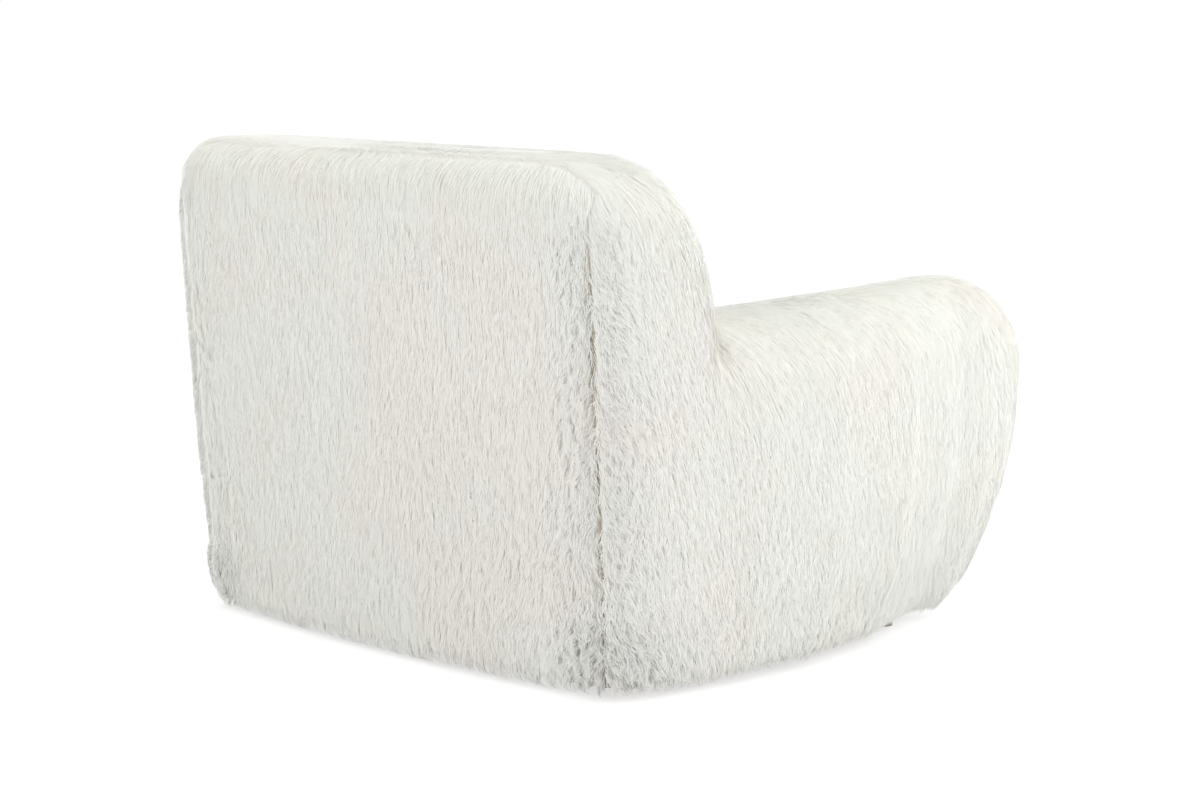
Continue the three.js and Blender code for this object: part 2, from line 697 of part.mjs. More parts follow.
addPiece("front_rail", frontRailGrown(0), hardwood);
addPiece("rear_rail", rearRail, hardwood);
addPiece("spring_rail", springRail, hardwood);
addPair("side_rail", sideRail, hardwood);
addPair("arm_front_board", drilled(armBoard(0)), hardwood);
addPair("rear_post", drilled(rearPost(0).subtract(sideRailCut)), hardwood);
addPair("arm_rail", armRail(0), hardwood);
addPair("arm_slat", armSlat(0), hardwood);
addPiece("lower_back_rail", backRail(lowerBackRail, 0), hardwood);
addPiece("top_back_rail", backRail(topBackRail, 0), hardwood);
["left", "middle", "right"].forEach((side, index) => {
  addPiece(`${side}_back_webbing`, webbing(webbingSpacing * (1 - index), 0), webbingCloth);
});
["front", "rear"].forEach((end, index) => addPair(`${end}_glide`, glide(glideSpots[index], 0), nylon));

// Black cloth under the base, with a hole round each glide
const dustCurve = coreCurve.map(([x, y]) => [x - dustCoverMargin, y]);
const dustOutline = [...dustCurve, ...dustCurve.map(([x, y]) => [-x, y]).reverse()];
const dustTop = railFoot - fit;
addPiece("dust_cover", drilled(boardUp(dustOutline, dustTop - dustCoverThickness, dustTop)), blackCloth);

// Sinuous springs run from the spring rail to the front rail, held down by a clip at each end
const clipTop = railTop + fit + clipThickness;
const wireHeight = clipTop + fit + springWireRadius;
const springFront = frontRailRear - clipRun / 2;
const springRear = springRailRear - boardThickness + clipRun / 2;
function spring(x) {
  const runs = Math.round((springRear - springFront) / springPitch);
  const pitch = (springRear - springFront) / runs;
  const points = [new THREE.Vector3(x - springHalfWidth / 2, springFront, wireHeight)];
  for (let run = 0; run < runs; run += 1) {
    const side = run % 2 === 0 ? 1 : -1;
    const bendX = x + side * (springHalfWidth - pitch / 2);
    const middle = new THREE.Vector3(bendX, springFront + pitch * (run + 0.5), wireHeight);
    for (let bend = 0; bend <= bendSteps; bend += 1) {
      const angle = Math.PI * (bend / bendSteps - 0.5);
      const out = new THREE.Vector3(side * Math.cos(angle), Math.sin(angle), 0).multiplyScalar(pitch / 2);
      points.push(middle.clone().add(out));
    }
  }
  const lastSide = runs % 2 === 0 ? 1 : -1;
  points.push(new THREE.Vector3(x + (lastSide * springHalfWidth) / 2, springRear, wireHeight));
  return wireAlong(points, springWireRadius, wireSides);
}

// A clip: a flat foot on the rail, curled over the last run of the spring on the side that pulls
const curlRadius = springWireRadius + fit + clipThickness;
function clip(x, y, facing) {
  const curl = (radius) =>
    Array.from({ length: curlSteps + 1 }, (_, step) => {
      const angle = -Math.PI / 2 - (Math.PI * step) / curlSteps;
      return [y + facing * radius * Math.cos(angle), wireHeight + radius * Math.sin(angle)];
    });
  const outline = [
    [y + facing * clipRun, railTop + fit],
    ...curl(curlRadius),
    ...curl(springWireRadius + fit).reverse(),
    [y + facing * clipRun, clipTop],
  ];
  return boardAcross(outline, x - clipWidth / 2, x + clipWidth / 2);
}
const clipPockets = [];
for (let index = 0; index < springCount; index += 1) {
  const x = springSpacing * (index - (springCount - 1) / 2);
  addPiece(`spring_${index + 1}`, spring(x), springSteel);
  addPiece(`front_clip_${index + 1}`, clip(x, springFront, -1), springSteel);
  addPiece(`rear_clip_${index + 1}`, clip(x, springRear, 1), springSteel);
  for (const y of [springFront, springRear]) {
    const half = clipWidth / 2 + fit;
    const round = curlRadius + fit;
    clipPockets.push(box([x - half, y - clipRun, railTop], [x + half, y + clipRun, wireHeight + round]));
  }
}

// Foam
const pocketed = (solid) => clipPockets.reduce((rest, pocket) => rest.subtract(pocket), solid);
const padFoot = wireHeight + springWireRadius + fit;
const padFront = frontRailRear - 2 * clipRun;
const padHalfWidth = foamFace - fit;
const padRear = backFoot + coverThickness;
const padLip = box(
  [-padHalfWidth, -borderTopSetback + fit, deckHeight - coverThickness],
  [padHalfWidth, padFront + overrun, padTop],
);
const padBody = box([-padHalfWidth, padFront + fit, padFoot], [padHalfWidth, padRear, padTop]);
const deckPad = pocketed(padBody.add(padLip));
const filling = (solid) => solid.intersect(box([-reach, -reach, railFoot], [reach, reach, reach]));
const backFilling = filling(slab(foamInset, hemHeight - overrun));
const borderFoam = filling(seatBlock(foamInset, hemHeight - overrun))
  .intersect(box([-padHalfWidth, -reach, 0], [padHalfWidth, padFront, deckHeight - coverThickness - fit]))
  .subtract(box([-reach, frontRailFront - fit, -overrun], [reach, 0, railTop + fit]));
const backFoam = backFilling
  .intersect(acrossMiddle(padHalfWidth))
  .subtract(baseCore)
  .subtract(backRail(lowerBackRail, fit))
  .subtract(backRail(topBackRail, fit))
  .subtract(webbing(webbingSpacing, fit))
  .subtract(webbing(0, fit))
  .subtract(webbing(-webbingSpacing, fit));
const armFoam = filling(wing(foamInset, hemHeight, overrun))
  .add(backFilling.intersect(box([foamFace, -reach, -overrun], [reach, reach, reach])))
  .subtract(baseCore)
  .subtract(frontRailGrown(fit))
  .subtract(armBoard(fit))
  .subtract(rearPost(fit))
  .subtract(armRail(fit))
  .subtract(armSlat(fit))
  .subtract(backRail(lowerBackRail, fit))
  .subtract(backRail(topBackRail, fit));
addPiece("deck_pad", deckPad, foam);
addPiece("front_border_foam", borderFoam, foam);
addPiece("back_foam", backFoam, foam);
addPair("arm_foam", armFoam, foam);

// Loose cushion: its outline in plan, from a half width, a front, a rear and a corner radius
function cushionOutline(halfWidth, front, rear, radius) {
  const corners = [
    { x: halfWidth - radius, y: rear - radius, turn: 0 },
    { x: -halfWidth + radius, y: rear - radius, turn: 1 },
    { x: -halfWidth + radius, y: front + radius, turn: 2 },
    { x: halfWidth - radius, y: front + radius, turn: 3 },
  ];
  const points = [];
  corners.forEach((corner, index) => {
    for (let step = 0; step <= cornerSteps; step += 1) {
      const angle = (Math.PI / 2) * (corner.turn + step / cornerSteps);
      points.push([corner.x + radius * Math.cos(angle), corner.y + radius * Math.sin(angle)]);
    }
    const from = points.at(-1);
    const next = corners[(index + 1) % corners.length];
    const angle = (Math.PI / 2) * next.turn;
    const to = [next.x + radius * Math.cos(angle), next.y + radius * Math.sin(angle)];
    const bow = corner.turn === 0 ? 0 : cushionDrawIn;
    for (let step = 1; step < sideSteps; step += 1) {
      const share = step / sideSteps;
      const out = bow * 4 * share * (1 - share);
      const x = from[0] + (to[0] - from[0]) * share + out * Math.cos(angle);
      points.push([x, from[1] + (to[1] - from[1]) * share + out * Math.sin(angle)]);
    }
  });
  return points;
}

const cushionFoot = deckHeight + fit;
const cushionTop = cushionFoot + cushionHeight;
const cushionLean = Math.tan(rad(backRecline));
const cushionRear = insideBackAt(cushionFoot) - cushionBackGap;
const cushionFront = -cushionFrontSetback + cushionDrawIn;
const lowerSeam = cushionFoot + cushionPanelDrop;
const upperSeam = cushionTop - cushionPanelDrop;
const cushionMiddle = (cushionFront + cushionRear) / 2;

// The rear of the cushion leans with the inside back, its front stands upright
function leaned([x, y], z) {
  const share = (y - cushionFront) / (cushionRear - cushionFront);
  return new THREE.Vector3(x, y + share * cushionLean * (z - cushionFoot), z);
}
function cushionForm(inset) {
  const level = (z, draw) => {
    const drawn = draw + inset;
    const halfWidth = innerHalfWidth - cushionSideGap - cushionDrawIn - drawn;
    const radius = cushionCornerRadius - drawn;
    const outline = cushionOutline(halfWidth, cushionFront + drawn, cushionRear - drawn, radius);
    return outline.map((at) => ({ at, z }));
  };
  const levels = [level(cushionFoot + inset, cushionPanelDrop), level(lowerSeam, cushionPuff)];
  for (const share of puffShares) {
    const draw = cushionPuff * (1 - Math.sin(Math.PI * share));
    levels.push(level(lowerSeam + (upperSeam - lowerSeam) * share, draw));
  }
  levels.push(level(upperSeam, cushionPuff));
  const edge = level(cushionTop - inset, cushionPanelDrop);
  for (let step = 0; step < crownSteps; step += 1) {
    const share = 1 - step / crownSteps;
    const rise = cushionCrown * (1 - share ** 2);
    levels.push(
      edge.map(({ at: [x, y], z }) => ({
        at: [x * share, cushionMiddle + (y - cushionMiddle) * share],
        z: z + rise,
      })),
    );
  }
  return loft(levels.map((ring) => ring.map(({ at, z }) => leaned(at, z))));
}

// The zip lies on the fullest line of the cushion's rear
const zipLength = 2 * (innerHalfWidth - cushionSideGap - cushionDrawIn - cushionCornerRadius - zipEndGap);
const zipHeight = (lowerSeam + upperSeam) / 2;
const zipDepth = cushionRear + cushionLean * (zipHeight - cushionFoot);
function onZip(geometry, x) {
  return solidOf(geometry.rotateX(-rad(backRecline)).translate(x, zipDepth, zipHeight));
}
function zipTape(grow) {
  const sizes = [zipLength, zipTapeThickness, zipTapeHeight];
  const tape = new THREE.BoxGeometry(...sizes.map((size) => size + 2 * grow));
  return onZip(tape.translate(0, -zipTapeThickness / 2, 0), 0);
}
function zipSlider() {
  const halfShares = [[-0.5, 0.25], [-0.15, 0.5], [0.5, 0.36]];
  const outline = [...halfShares, ...halfShares.map(([x, z]) => [x, -z]).reverse()];
  const shape = new THREE.Shape(
    outline.map(([x, z]) => new THREE.Vector2(x * zipSliderLength, z * zipSliderHeight)),
  );
  const body = new THREE.ExtrudeGeometry(shape, { depth: zipSliderThickness, bevelEnabled: false });
  body.rotateX(Math.PI / 2).translate(0, fit + zipSliderThickness, 0);
  const pullThickness = zipSliderThickness / 3;
  const pull = new THREE.BoxGeometry(zipPullWidth, pullThickness, zipPullLength);
  pull.translate(0, fit + zipSliderThickness - pullThickness / 2, -zipPullLength / 2);
  const closed = -(zipLength - zipSliderLength) / 2;
  return onZip(body, closed).add(onZip(pull, closed));
}

const cushionSkin = cushionForm(0).subtract(cushionForm(coverThickness));
const between = (low, high) => box([-reach, -reach, low], [reach, reach, high]);
const wholeHeight = cushionTop + cushionCrown + overrun;
addPiece("cushion_core", cushionForm(foamInset), foam);
addPiece("cushion_top_panel", cushionSkin.intersect(between(upperSeam, wholeHeight)), ivoryFur);
const border = cushionSkin.intersect(between(lowerSeam + seam, upperSeam - seam));
addPiece("cushion_border", border.subtract(zipTape(fit)), ivoryFur);
addPiece("cushion_bottom_panel", cushionSkin.intersect(between(0, lowerSeam)), ivoryFur);
addPiece("cushion_zip_tape", zipTape(0), zipCloth);
addPiece("cushion_zip_slider", zipSlider(), zinc);

// The origin goes under the middle of the chair
const bounds = new THREE.Box3().setFromObject(chair);
chair.position.y = -(bounds.min.y + bounds.max.y) / 2;

export default chair;
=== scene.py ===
# Looks of the lounge armchair: long ivory pile on every panel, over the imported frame.
# Metres, +Z up, the sitter faces -Y.
import math

import bpy
import numpy as np
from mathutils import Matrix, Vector
from mathutils.bvhtree import BVHTree
from mathutils.kdtree import KDTree


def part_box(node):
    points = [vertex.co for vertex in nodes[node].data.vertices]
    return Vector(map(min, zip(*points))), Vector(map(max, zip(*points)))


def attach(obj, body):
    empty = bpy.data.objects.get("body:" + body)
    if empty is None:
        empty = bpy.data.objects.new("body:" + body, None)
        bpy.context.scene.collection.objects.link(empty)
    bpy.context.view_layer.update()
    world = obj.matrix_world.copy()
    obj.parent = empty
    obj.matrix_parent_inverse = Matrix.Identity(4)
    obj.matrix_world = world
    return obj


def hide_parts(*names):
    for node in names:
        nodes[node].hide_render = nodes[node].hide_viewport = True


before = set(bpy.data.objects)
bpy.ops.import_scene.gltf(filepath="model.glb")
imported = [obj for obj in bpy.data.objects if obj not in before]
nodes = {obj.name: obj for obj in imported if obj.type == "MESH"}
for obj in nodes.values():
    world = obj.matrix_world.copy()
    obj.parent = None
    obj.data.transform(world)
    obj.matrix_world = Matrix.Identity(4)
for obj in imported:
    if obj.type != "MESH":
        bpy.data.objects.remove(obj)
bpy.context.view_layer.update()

MM = 0.001

# Camera, fitted to the outline in the photograph
CAMERA_PLACE = (-3.6951, 3.3249, 0.9984)
CAMERA_AZIMUTH = math.radians(228.10)
CAMERA_TILT = math.radians(7.461)
CAMERA_LENS = 94.68
SENSOR_WIDTH = 36.0

# Light
WORLD_LIGHT = 0.94
KEY_PLACE = (-3.1, -2.8, 1.7)
KEY_SIZE = 4.2
KEY_POWER = 78
FILL_PLACE = (0.2, 4.8, 2.2)
FILL_SIZE = 4.8
FILL_POWER = 44
FLOOR_GLOW = 0.64  # only in the camera's sight, and in mirrors and clear pieces
FLOOR_COLOR = 0.74  # for the light that the floor gives back to the chair
FLOOR_SEEN = 0.48  # the same for the camera, which sees FLOOR_GLOW besides

# Upholstered forms under the pile
BODY_VOXEL = 8 * MM
CUSHION_VOXEL = 6 * MM
SMOOTH_ROUNDS = 24
SMOOTH_SHRINK = 0.55
SMOOTH_GROW = -0.565
SETTLE_ROUNDS = 7  # rounds the filling's high edges off, from one height up to another
SETTLE_FROM = 0.64
SETTLE_FULL = 0.74
NORMAL_ROUNDS = 20
BASE_DEPTH = 6.5 * MM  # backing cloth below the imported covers' own surface
REST_DEPTH = 1.5 * MM  # the same where a form lies on another, or carries the deck cloth
FOOT_LEVEL = 20.5 * MM  # underside of the body, just over the dust cover
SEAM_REACH = 55 * MM  # how far from a seam the pile still turns away from it
SEAM_GROOVE = 3.5 * MM
SEAM_GROOVE_HALF_WIDTH = 9 * MM
GROOVE_FADES = (0.66, 0.71)  # heights between which the seams' grooves run out
SEAM_NEIGHBOURS = 6  # spots on a seam from which the way away from it is taken
BACKING_SEAM_SHADE = (3 * MM, 9 * MM)  # painted shade: the backing is dark nearer than the first, unshaded past the second

# Pile
PILE_FOOT = 2.5 * MM  # the hem's tufts hang no lower than this
TUFT = 14 * MM  # strands nearer than this lean alike and draw together
STRANDS_PER_M2 = 175_000
HIDDEN_SHARE = 0.3  # of the strands, where the cushion covers them
FREE_SHARE = 0.1  # of the strands, those whose tips stand free
STRAND_LENGTH = 29 * MM
STRAND_WIDTH = 0.9 * MM
STRAND_LIFT = 6 * MM  # how high a strand stands over its root
PRESSED_LIFT = 5 * MM  # the same where the cushion presses the pile flat
HEM_FLARE = 9 * MM  # how much further it stands out low on the rear corners
FLARE_GROWS = (5 * MM, 50 * MM)  # heights over the hem
FLARE_FADES = (75 * MM, 130 * MM)
SEAM_VALLEY = 16 * MM  # the pile lies lower nearer than this to a seam
SEAM_BARE = 1.2 * MM  # at each side of a seam, where no strand stands
ROOT_DEPTH = 1 * MM  # roots stand in the backing
TWIST = 0.12  # spread of the strands' turn about their own length
BEND = 0.42  # how far along a strand its bend lies
BEND_HEIGHT = 0.92  # as shares of the lift
TIP_HEIGHT = 0.8
FREE_TIP_HEIGHT = 1.5
BEND_WIDTH = 0.85
BEND_DRAW = 0.4
LENGTHS = (0.65, 1.1)  # shortest and longest, as shares of the length
WIDTHS = (0.7, 1.2)
FACE_SHADING = 0.1  # how much of a strand's own turn its shading shows

# Tone of the pile, from 0 for the darkest to 1
MEAN_TONE = 0.76
# Painted shade at each strand's root, where the pile shades it, and painted light at its tip
ROOT_PAINTED_SHADE = -0.08
TIP_PAINTED_LIGHT = 0.1
SEAM_SHADE = 0.1  # painted shade: darker along a seam, within SEAM_SHADE_WIDTH
SEAM_SHADE_WIDTH = 6 * MM
HEM_SHADE = 0.3  # painted shade: darker towards the hem, below HEM_SHADE_HEIGHT
HEM_SHADE_HEIGHT = 38 * MM
HEM_EDGE = 7 * MM  # the lowest pile, darkened with painted shade where it meets the floor
HEM_EDGE_SHADE = 0.6
WARM_PLACE = (-0.22, 0.47, 0.36)  # where the pile has yellowed most
WARM_SIZE = 0.42
PILE_BOUNCES = 10  # light that leaves white pile has met many strands

# Sizes of the random waves in the pile, each with a seed of its own
BROAD_WAVE = 150 * MM
BROAD_SEED = 1
NARROW_WAVE = 48 * MM
NARROW_SEED = 2
TUFT_SEED = 3
SEAM_WAVE = 45 * MM
SEAM_SEED = 4
PATCH_WAVE = 180 * MM
PATCH_SEED = 6
PARTING_WAVE = 17 * MM
PARTING_SEED = 8
RIPPLE_WAVE = 45 * MM
RIPPLE_SEED = 21

# How the pile lies; a pair is a value for smooth pile and what ruffling adds to it
BROAD_SWAY = 0.16
NARROW_SWAY = (0.06, 0.14)
TUFT_LEAN = (0.02, 0.42)
TUFT_DRAW = (0.02, 0.3)  # how far strands are drawn to the middle of their tuft
STRAND_TURN = (0.05, 0.2)
RISE_SPREAD = (0.4, 1.0)  # in tenths of the lift
FULLNESS = (1, 0.35)
LEAN_LIFT = (0.02, 0.2)
SEAM_WANDER = 0.45
TUFT_TONE = 0.06
SMOOTH_LONGER = 0.25
RUFFLED_SHORTER = 0.22
SMOOTH_FINER = 0.2
RUFFLED_WIDER = 0.1
HIGH_LOWER = 0.25  # how much lower the pile lies on the top, past HIGH_PILE
HIGH_PILE = (0.64, 0.72)
FACES_DOWN = -0.8  # no strand stands where the surface faces further down

# Where the pile is ruffled: metres along the axes
SEAM_RUFFLE = 70 * MM
REAR_SEAMS = (0.26, 0.38)
HIGH_SEAMS = (0.67, 0.73)
LOW_HEIGHT = 0.5
REAR_SIDE = (-0.25, 0.1)
RIGHT_SIDE = (0, 0.3)
SMOOTH_HEIGHTS = (0.4, 0.65)
MOST_RUFFLED = 1.3


def srgb(red, green, blue):
    """Linear colour, with full alpha, of a colour written in 0 to 255"""
    linear = [((value / 255 + 0.055) / 1.055) ** 2.4 for value in (red, green, blue)]
    return (*linear, 1.0)


def add_object(name, mesh):
    made = bpy.data.objects.new(name, mesh)
    bpy.context.scene.collection.objects.link(made)
    return made


def vertex_places(mesh):
    places = np.empty(len(mesh.vertices) * 3, np.float32)
    mesh.vertices.foreach_get("co", places)
    return places.reshape(-1, 3).astype(float)


def triangles_of(mesh):
    mesh.calc_loop_triangles()
    corners = np.empty(len(mesh.loop_triangles) * 3, np.int32)
    mesh.loop_triangles.foreach_get("vertices", corners)
    return corners.reshape(-1, 3)


def unit(vectors):
    return vectors / np.maximum(np.linalg.norm(vectors, axis=-1, keepdims=True), 1e-9)


def dot(first, second):
    return np.sum(first * second, axis=-1, keepdims=True)


def smooth_step(low, high, values):
    share = np.clip((values - low) / (high - low), 0, 1)
    return share * share * (3 - 2 * share)


def mesh_from(name, places, faces_by_size, smooth=True):
    """A mesh from vertex places and, for each number of corners, an array of faces"""
    mesh = bpy.data.meshes.new(name)
    mesh.vertices.add(len(places))
    mesh.vertices.foreach_set("co", places.astype(np.float32).ravel())
    loops = np.concatenate([faces.ravel() for faces in faces_by_size])
    sizes = np.concatenate([np.full(len(faces), faces.shape[1]) for faces in faces_by_size])
    starts = np.concatenate([[0], np.cumsum(sizes)[:-1]])
    mesh.loops.add(len(loops))
    mesh.loops.foreach_set("vertex_index", loops.astype(np.int32))
    mesh.polygons.add(len(sizes))
    mesh.polygons.foreach_set("loop_start", starts.astype(np.int32))
    if smooth:
        mesh.polygons.foreach_set("use_smooth", np.ones(len(sizes), bool))
    mesh.update(calc_edges=True)
    return mesh


def lattice_noise(places, cell, seed):
    """Three smooth random values from -1 to 1 at each place, changing over about one cell"""
    size = 32
    table = np.random.default_rng(seed).uniform(-1, 1, (size, size, size, 3))
    scaled = places / cell + 100.0
    low = np.floor(scaled).astype(int)
    part = scaled - low
    part = part * part * (3 - 2 * part)
    total = np.zeros((len(places), 3))
    for corner in np.ndindex(2, 2, 2):
        weight = np.prod(np.where(corner, part, 1 - part), axis=1)
        at = (low + corner) % size
        total += weight[:, None] * table[at[:, 0], at[:, 1], at[:, 2]]
    return total


bpy.context.scene.view_settings.view_transform = "Standard"


# Camera, light and floor
def add_camera():
    data = bpy.data.cameras.new("camera")
    data.sensor_width = SENSOR_WIDTH
    data.lens = CAMERA_LENS
    data.clip_end = 200
    camera = add_object("camera", data)
    camera.location = CAMERA_PLACE
    level = math.cos(CAMERA_TILT)
    forward = Vector((
        -math.sin(CAMERA_AZIMUTH) * level,
        math.cos(CAMERA_AZIMUTH) * level,
        -math.sin(CAMERA_TILT),
    ))
    camera.rotation_mode = "QUATERNION"
    camera.rotation_quaternion = forward.to_track_quat("-Z", "Y")
    bpy.context.scene.camera = camera


def add_lamp(name, place, size, power):
    data = bpy.data.lights.new(name, "AREA")
    data.shape = "DISK"
    data.size = size
    data.energy = power
    lamp = add_object(name, data)
    lamp.location = place
    lamp.rotation_mode = "QUATERNION"
    lamp.rotation_quaternion = (-Vector(place)).to_track_quat("-Z", "Y")


def seen_directly(tree):
    """1 for rays from the camera and for mirror and clear rays, else 0"""
    path = tree.nodes.new("ShaderNodeLightPath")
    either = tree.nodes.new("ShaderNodeMath")
    either.operation = "MAXIMUM"
    tree.links.new(path.outputs["Is Camera Ray"], either.inputs[0])
    tree.links.new(path.outputs["Is Glossy Ray"], either.inputs[1])
    all_three = tree.nodes.new("ShaderNodeMath")
    all_three.operation = "MAXIMUM"
    tree.links.new(either.outputs[0], all_three.inputs[0])
    tree.links.new(path.outputs["Is Transmission Ray"], all_three.inputs[1])
    return all_three.outputs[0]


def add_world():
    world = bpy.data.worlds.new("studio")
    bpy.context.scene.world = world
    world.use_nodes = True
    tree = world.node_tree
    background = tree.nodes["Background"]
    background.inputs["Color"].default_value = (1, 1, 1, 1)
    strength = tree.nodes.new("ShaderNodeMix")
    strength.inputs["A"].default_value = WORLD_LIGHT
    strength.inputs["B"].default_value = 1.0
    tree.links.new(seen_directly(tree), strength.inputs["Factor"])
    tree.links.new(strength.outputs["Result"], background.inputs["Strength"])


def add_floor():
    half = 60.0
    corners = np.array([[-half, -half, 0], [half, -half, 0], [half, half, 0], [-half, half, 0]])
    floor = add_object("floor", mesh_from("floor", corners, [np.array([[0, 1, 2, 3]])], smooth=False))
    material, tree, shader = new_material("studio_floor", roughness=1.0, specular=0.0)
    seen = seen_directly(tree)
    grey = (FLOOR_COLOR, FLOOR_COLOR, FLOOR_COLOR, 1)
    pale = (FLOOR_SEEN, FLOOR_SEEN, FLOOR_SEEN, 1)
    tree.links.new(mixed(tree, seen, grey, pale), shader.inputs["Base Color"])
    shader.inputs["Emission Color"].default_value = (1, 1, 1, 1)
    glow = tree.nodes.new("ShaderNodeMath")
    glow.operation = "MULTIPLY"
    glow.inputs[1].default_value = FLOOR_GLOW
    tree.links.new(seen, glow.inputs[0])
    tree.links.new(glow.outputs[0], shader.inputs["Emission Strength"])
    floor.data.materials.append(material)


# Materials
def new_material(name, roughness, specular=0.3):
    material = bpy.data.materials.new(name)
    material.use_nodes = True
    shader = material.node_tree.nodes["Principled BSDF"]
    shader.inputs["Roughness"].default_value = roughness
    shader.inputs["Specular IOR Level"].default_value = specular
    return material, material.node_tree, shader


def stretched_place(tree, stretch):
    """The part's own coordinates, stretched along its axes"""
    place = tree.nodes.new("ShaderNodeTexCoord")
    mapping = tree.nodes.new("ShaderNodeMapping")
    mapping.inputs["Scale"].default_value = stretch
    tree.links.new(place.outputs["Object"], mapping.inputs["Vector"])
    return mapping.outputs["Vector"]


def noise_at(tree, scale, detail=3.0, stretch=(1, 1, 1)):
    noise = tree.nodes.new("ShaderNodeTexNoise")
    noise.inputs["Scale"].default_value = scale
    noise.inputs["Detail"].default_value = detail
    tree.links.new(stretched_place(tree, stretch), noise.inputs["Vector"])
    return noise.outputs["Fac"]


def threads_at(tree, scale, axis, distortion=0.4):
    """Bands like threads side by side, across an axis"""
    wave = tree.nodes.new("ShaderNodeTexWave")
    wave.bands_direction = axis
    wave.inputs["Scale"].default_value = scale
    wave.inputs["Distortion"].default_value = distortion
    wave.inputs["Detail Scale"].default_value = 3.0
    tree.links.new(stretched_place(tree, (1, 1, 1)), wave.inputs["Vector"])
    return wave.outputs["Fac"]


def cells_at(tree, scale):
    cells = tree.nodes.new("ShaderNodeTexVoronoi")
    cells.inputs["Scale"].default_value = scale
    tree.links.new(stretched_place(tree, (1, 1, 1)), cells.inputs["Vector"])
    return cells.outputs["Distance"]


def ramp(tree, factor, stops):
    """Colours at places from 0 to 1 along a factor"""
    made = tree.nodes.new("ShaderNodeValToRGB")
    elements = made.color_ramp.elements
    elements[0].position, elements[0].color = stops[0]
    elements[1].position, elements[1].color = stops[-1]
    for position, color in stops[1:-1]:
        elements.new(position).color = color
    tree.links.new(factor, made.inputs["Fac"])
    return made.outputs["Color"]


def mixed(tree, factor, first, second, blend="MIX"):
    mix = tree.nodes.new("ShaderNodeMix")
    mix.data_type = "RGBA"
    mix.blend_type = blend
    sockets = [socket for socket in mix.inputs if socket.type == "RGBA"]
    for socket, value in zip(sockets, (first, second)):
        if isinstance(value, tuple):
            socket.default_value = value
        else:
            tree.links.new(value, socket)
    if isinstance(factor, float):
        mix.inputs["Factor"].default_value = factor
    else:
        tree.links.new(factor, mix.inputs["Factor"])
    return next(socket for socket in mix.outputs if socket.type == "RGBA")


def product(tree, first, second):
    times = tree.nodes.new("ShaderNodeMath")
    times.operation = "MULTIPLY"
    tree.links.new(first, times.inputs[0])
    tree.links.new(second, times.inputs[1])
    return times.outputs[0]


def with_share(tree, first, second, share):
    """The first value and a share of the second"""
    both = tree.nodes.new("ShaderNodeMath")
    both.operation = "MULTIPLY_ADD"
    both.inputs[1].default_value = share
    tree.links.new(second, both.inputs[0])
    tree.links.new(first, both.inputs[2])
    return both.outputs[0]


def ball_at(tree, middle, radius):
    """1 in the middle of a ball, falling to 0 at its edge"""
    place = tree.nodes.new("ShaderNodeTexCoord")
    mapping = tree.nodes.new("ShaderNodeMapping")
    mapping.inputs["Scale"].default_value = [1 / radius] * 3
    mapping.inputs["Location"].default_value = [-value / radius for value in middle]
    tree.links.new(place.outputs["Object"], mapping.inputs["Vector"])
    ball = tree.nodes.new("ShaderNodeTexGradient")
    ball.gradient_type = "SPHERICAL"
    tree.links.new(mapping.outputs["Vector"], ball.inputs["Vector"])
    return ball.outputs["Fac"]


def add_bump(tree, shader, height, distance, strength=0.5):
    bump = tree.nodes.new("ShaderNodeBump")
    bump.inputs["Distance"].default_value = distance
    bump.inputs["Strength"].default_value = strength
    tree.links.new(height, bump.inputs["Height"])
    tree.links.new(bump.outputs["Normal"], shader.inputs["Normal"])


def tone_at(tree):
    tone = tree.nodes.new("ShaderNodeAttribute")
    tone.attribute_name = "tone"
    return tone.outputs["Fac"]


def pile_material():
    """Ivory pile: a cool white with faint warm patches, and strands of slightly different tone"""
    material, tree, shader = new_material("ivory_pile", roughness=0.75, specular=0.15)
    rear_weight = ball_at(tree, WARM_PLACE, WARM_SIZE)
    warm = with_share(tree, noise_at(tree, 6.0, detail=2.5), rear_weight, 0.35)
    patches = ramp(tree, warm, [
        (0.44, srgb(253, 254, 252)),
        (0.72, srgb(254, 252, 250)),
    ])
    # Low tones carry painted shade at the roots, seams and hem; the highest, painted light at the tips
    tones = ramp(tree, tone_at(tree), [
        (0.0, srgb(158, 148, 132)),
        (0.3, srgb(244, 242, 236)),
        (0.6, srgb(252, 252, 250)),
        (1.0, srgb(254, 254, 252)),
    ])
    tree.links.new(mixed(tree, 1.0, patches, tones, "MULTIPLY"), shader.inputs["Base Color"])
    shader.inputs["Sheen Weight"].default_value = 0.25
    shader.inputs["Sheen Roughness"].default_value = 0.4
    return material


def backing_material():
    """The knitted ground under the pile, seen only where tufts part"""
    material, tree, shader = new_material("pile_ground", roughness=0.95, specular=0.1)
    color = ramp(tree, noise_at(tree, 260.0, detail=2.0, stretch=(1, 1, 0.35)), [
        (0.3, srgb(246, 245, 241)),
        (0.7, srgb(253, 253, 251)),
    ])
    # Tone 0 is the painted shade along the seams
    tones = ramp(tree, tone_at(tree), [(0.0, srgb(172, 164, 148)), (1.0, srgb(255, 255, 255))])
    tree.links.new(mixed(tree, 1.0, color, tones, "MULTIPLY"), shader.inputs["Base Color"])
    add_bump(tree, shader, noise_at(tree, 420.0, stretch=(1, 1, 0.3)), 1 * MM)
    return material


def wood_material(axis):
    """Pale hardwood with its grain along one axis"""
    stretch = [9.0, 9.0, 9.0]
    stretch["xyz".index(axis)] = 0.55
    material, tree, shader = new_material(f"hardwood_{axis}", roughness=0.62)
    grain = noise_at(tree, 9.0, detail=8.0, stretch=tuple(stretch))
    color = ramp(tree, grain, [
        (0.32, srgb(150, 116, 78)),
        (0.5, srgb(196, 163, 118)),
        (0.68, srgb(216, 188, 146)),
    ])
    tree.links.new(color, shader.inputs["Base Color"])
    add_bump(tree, shader, grain, 0.6 * MM, 0.35)
    return material


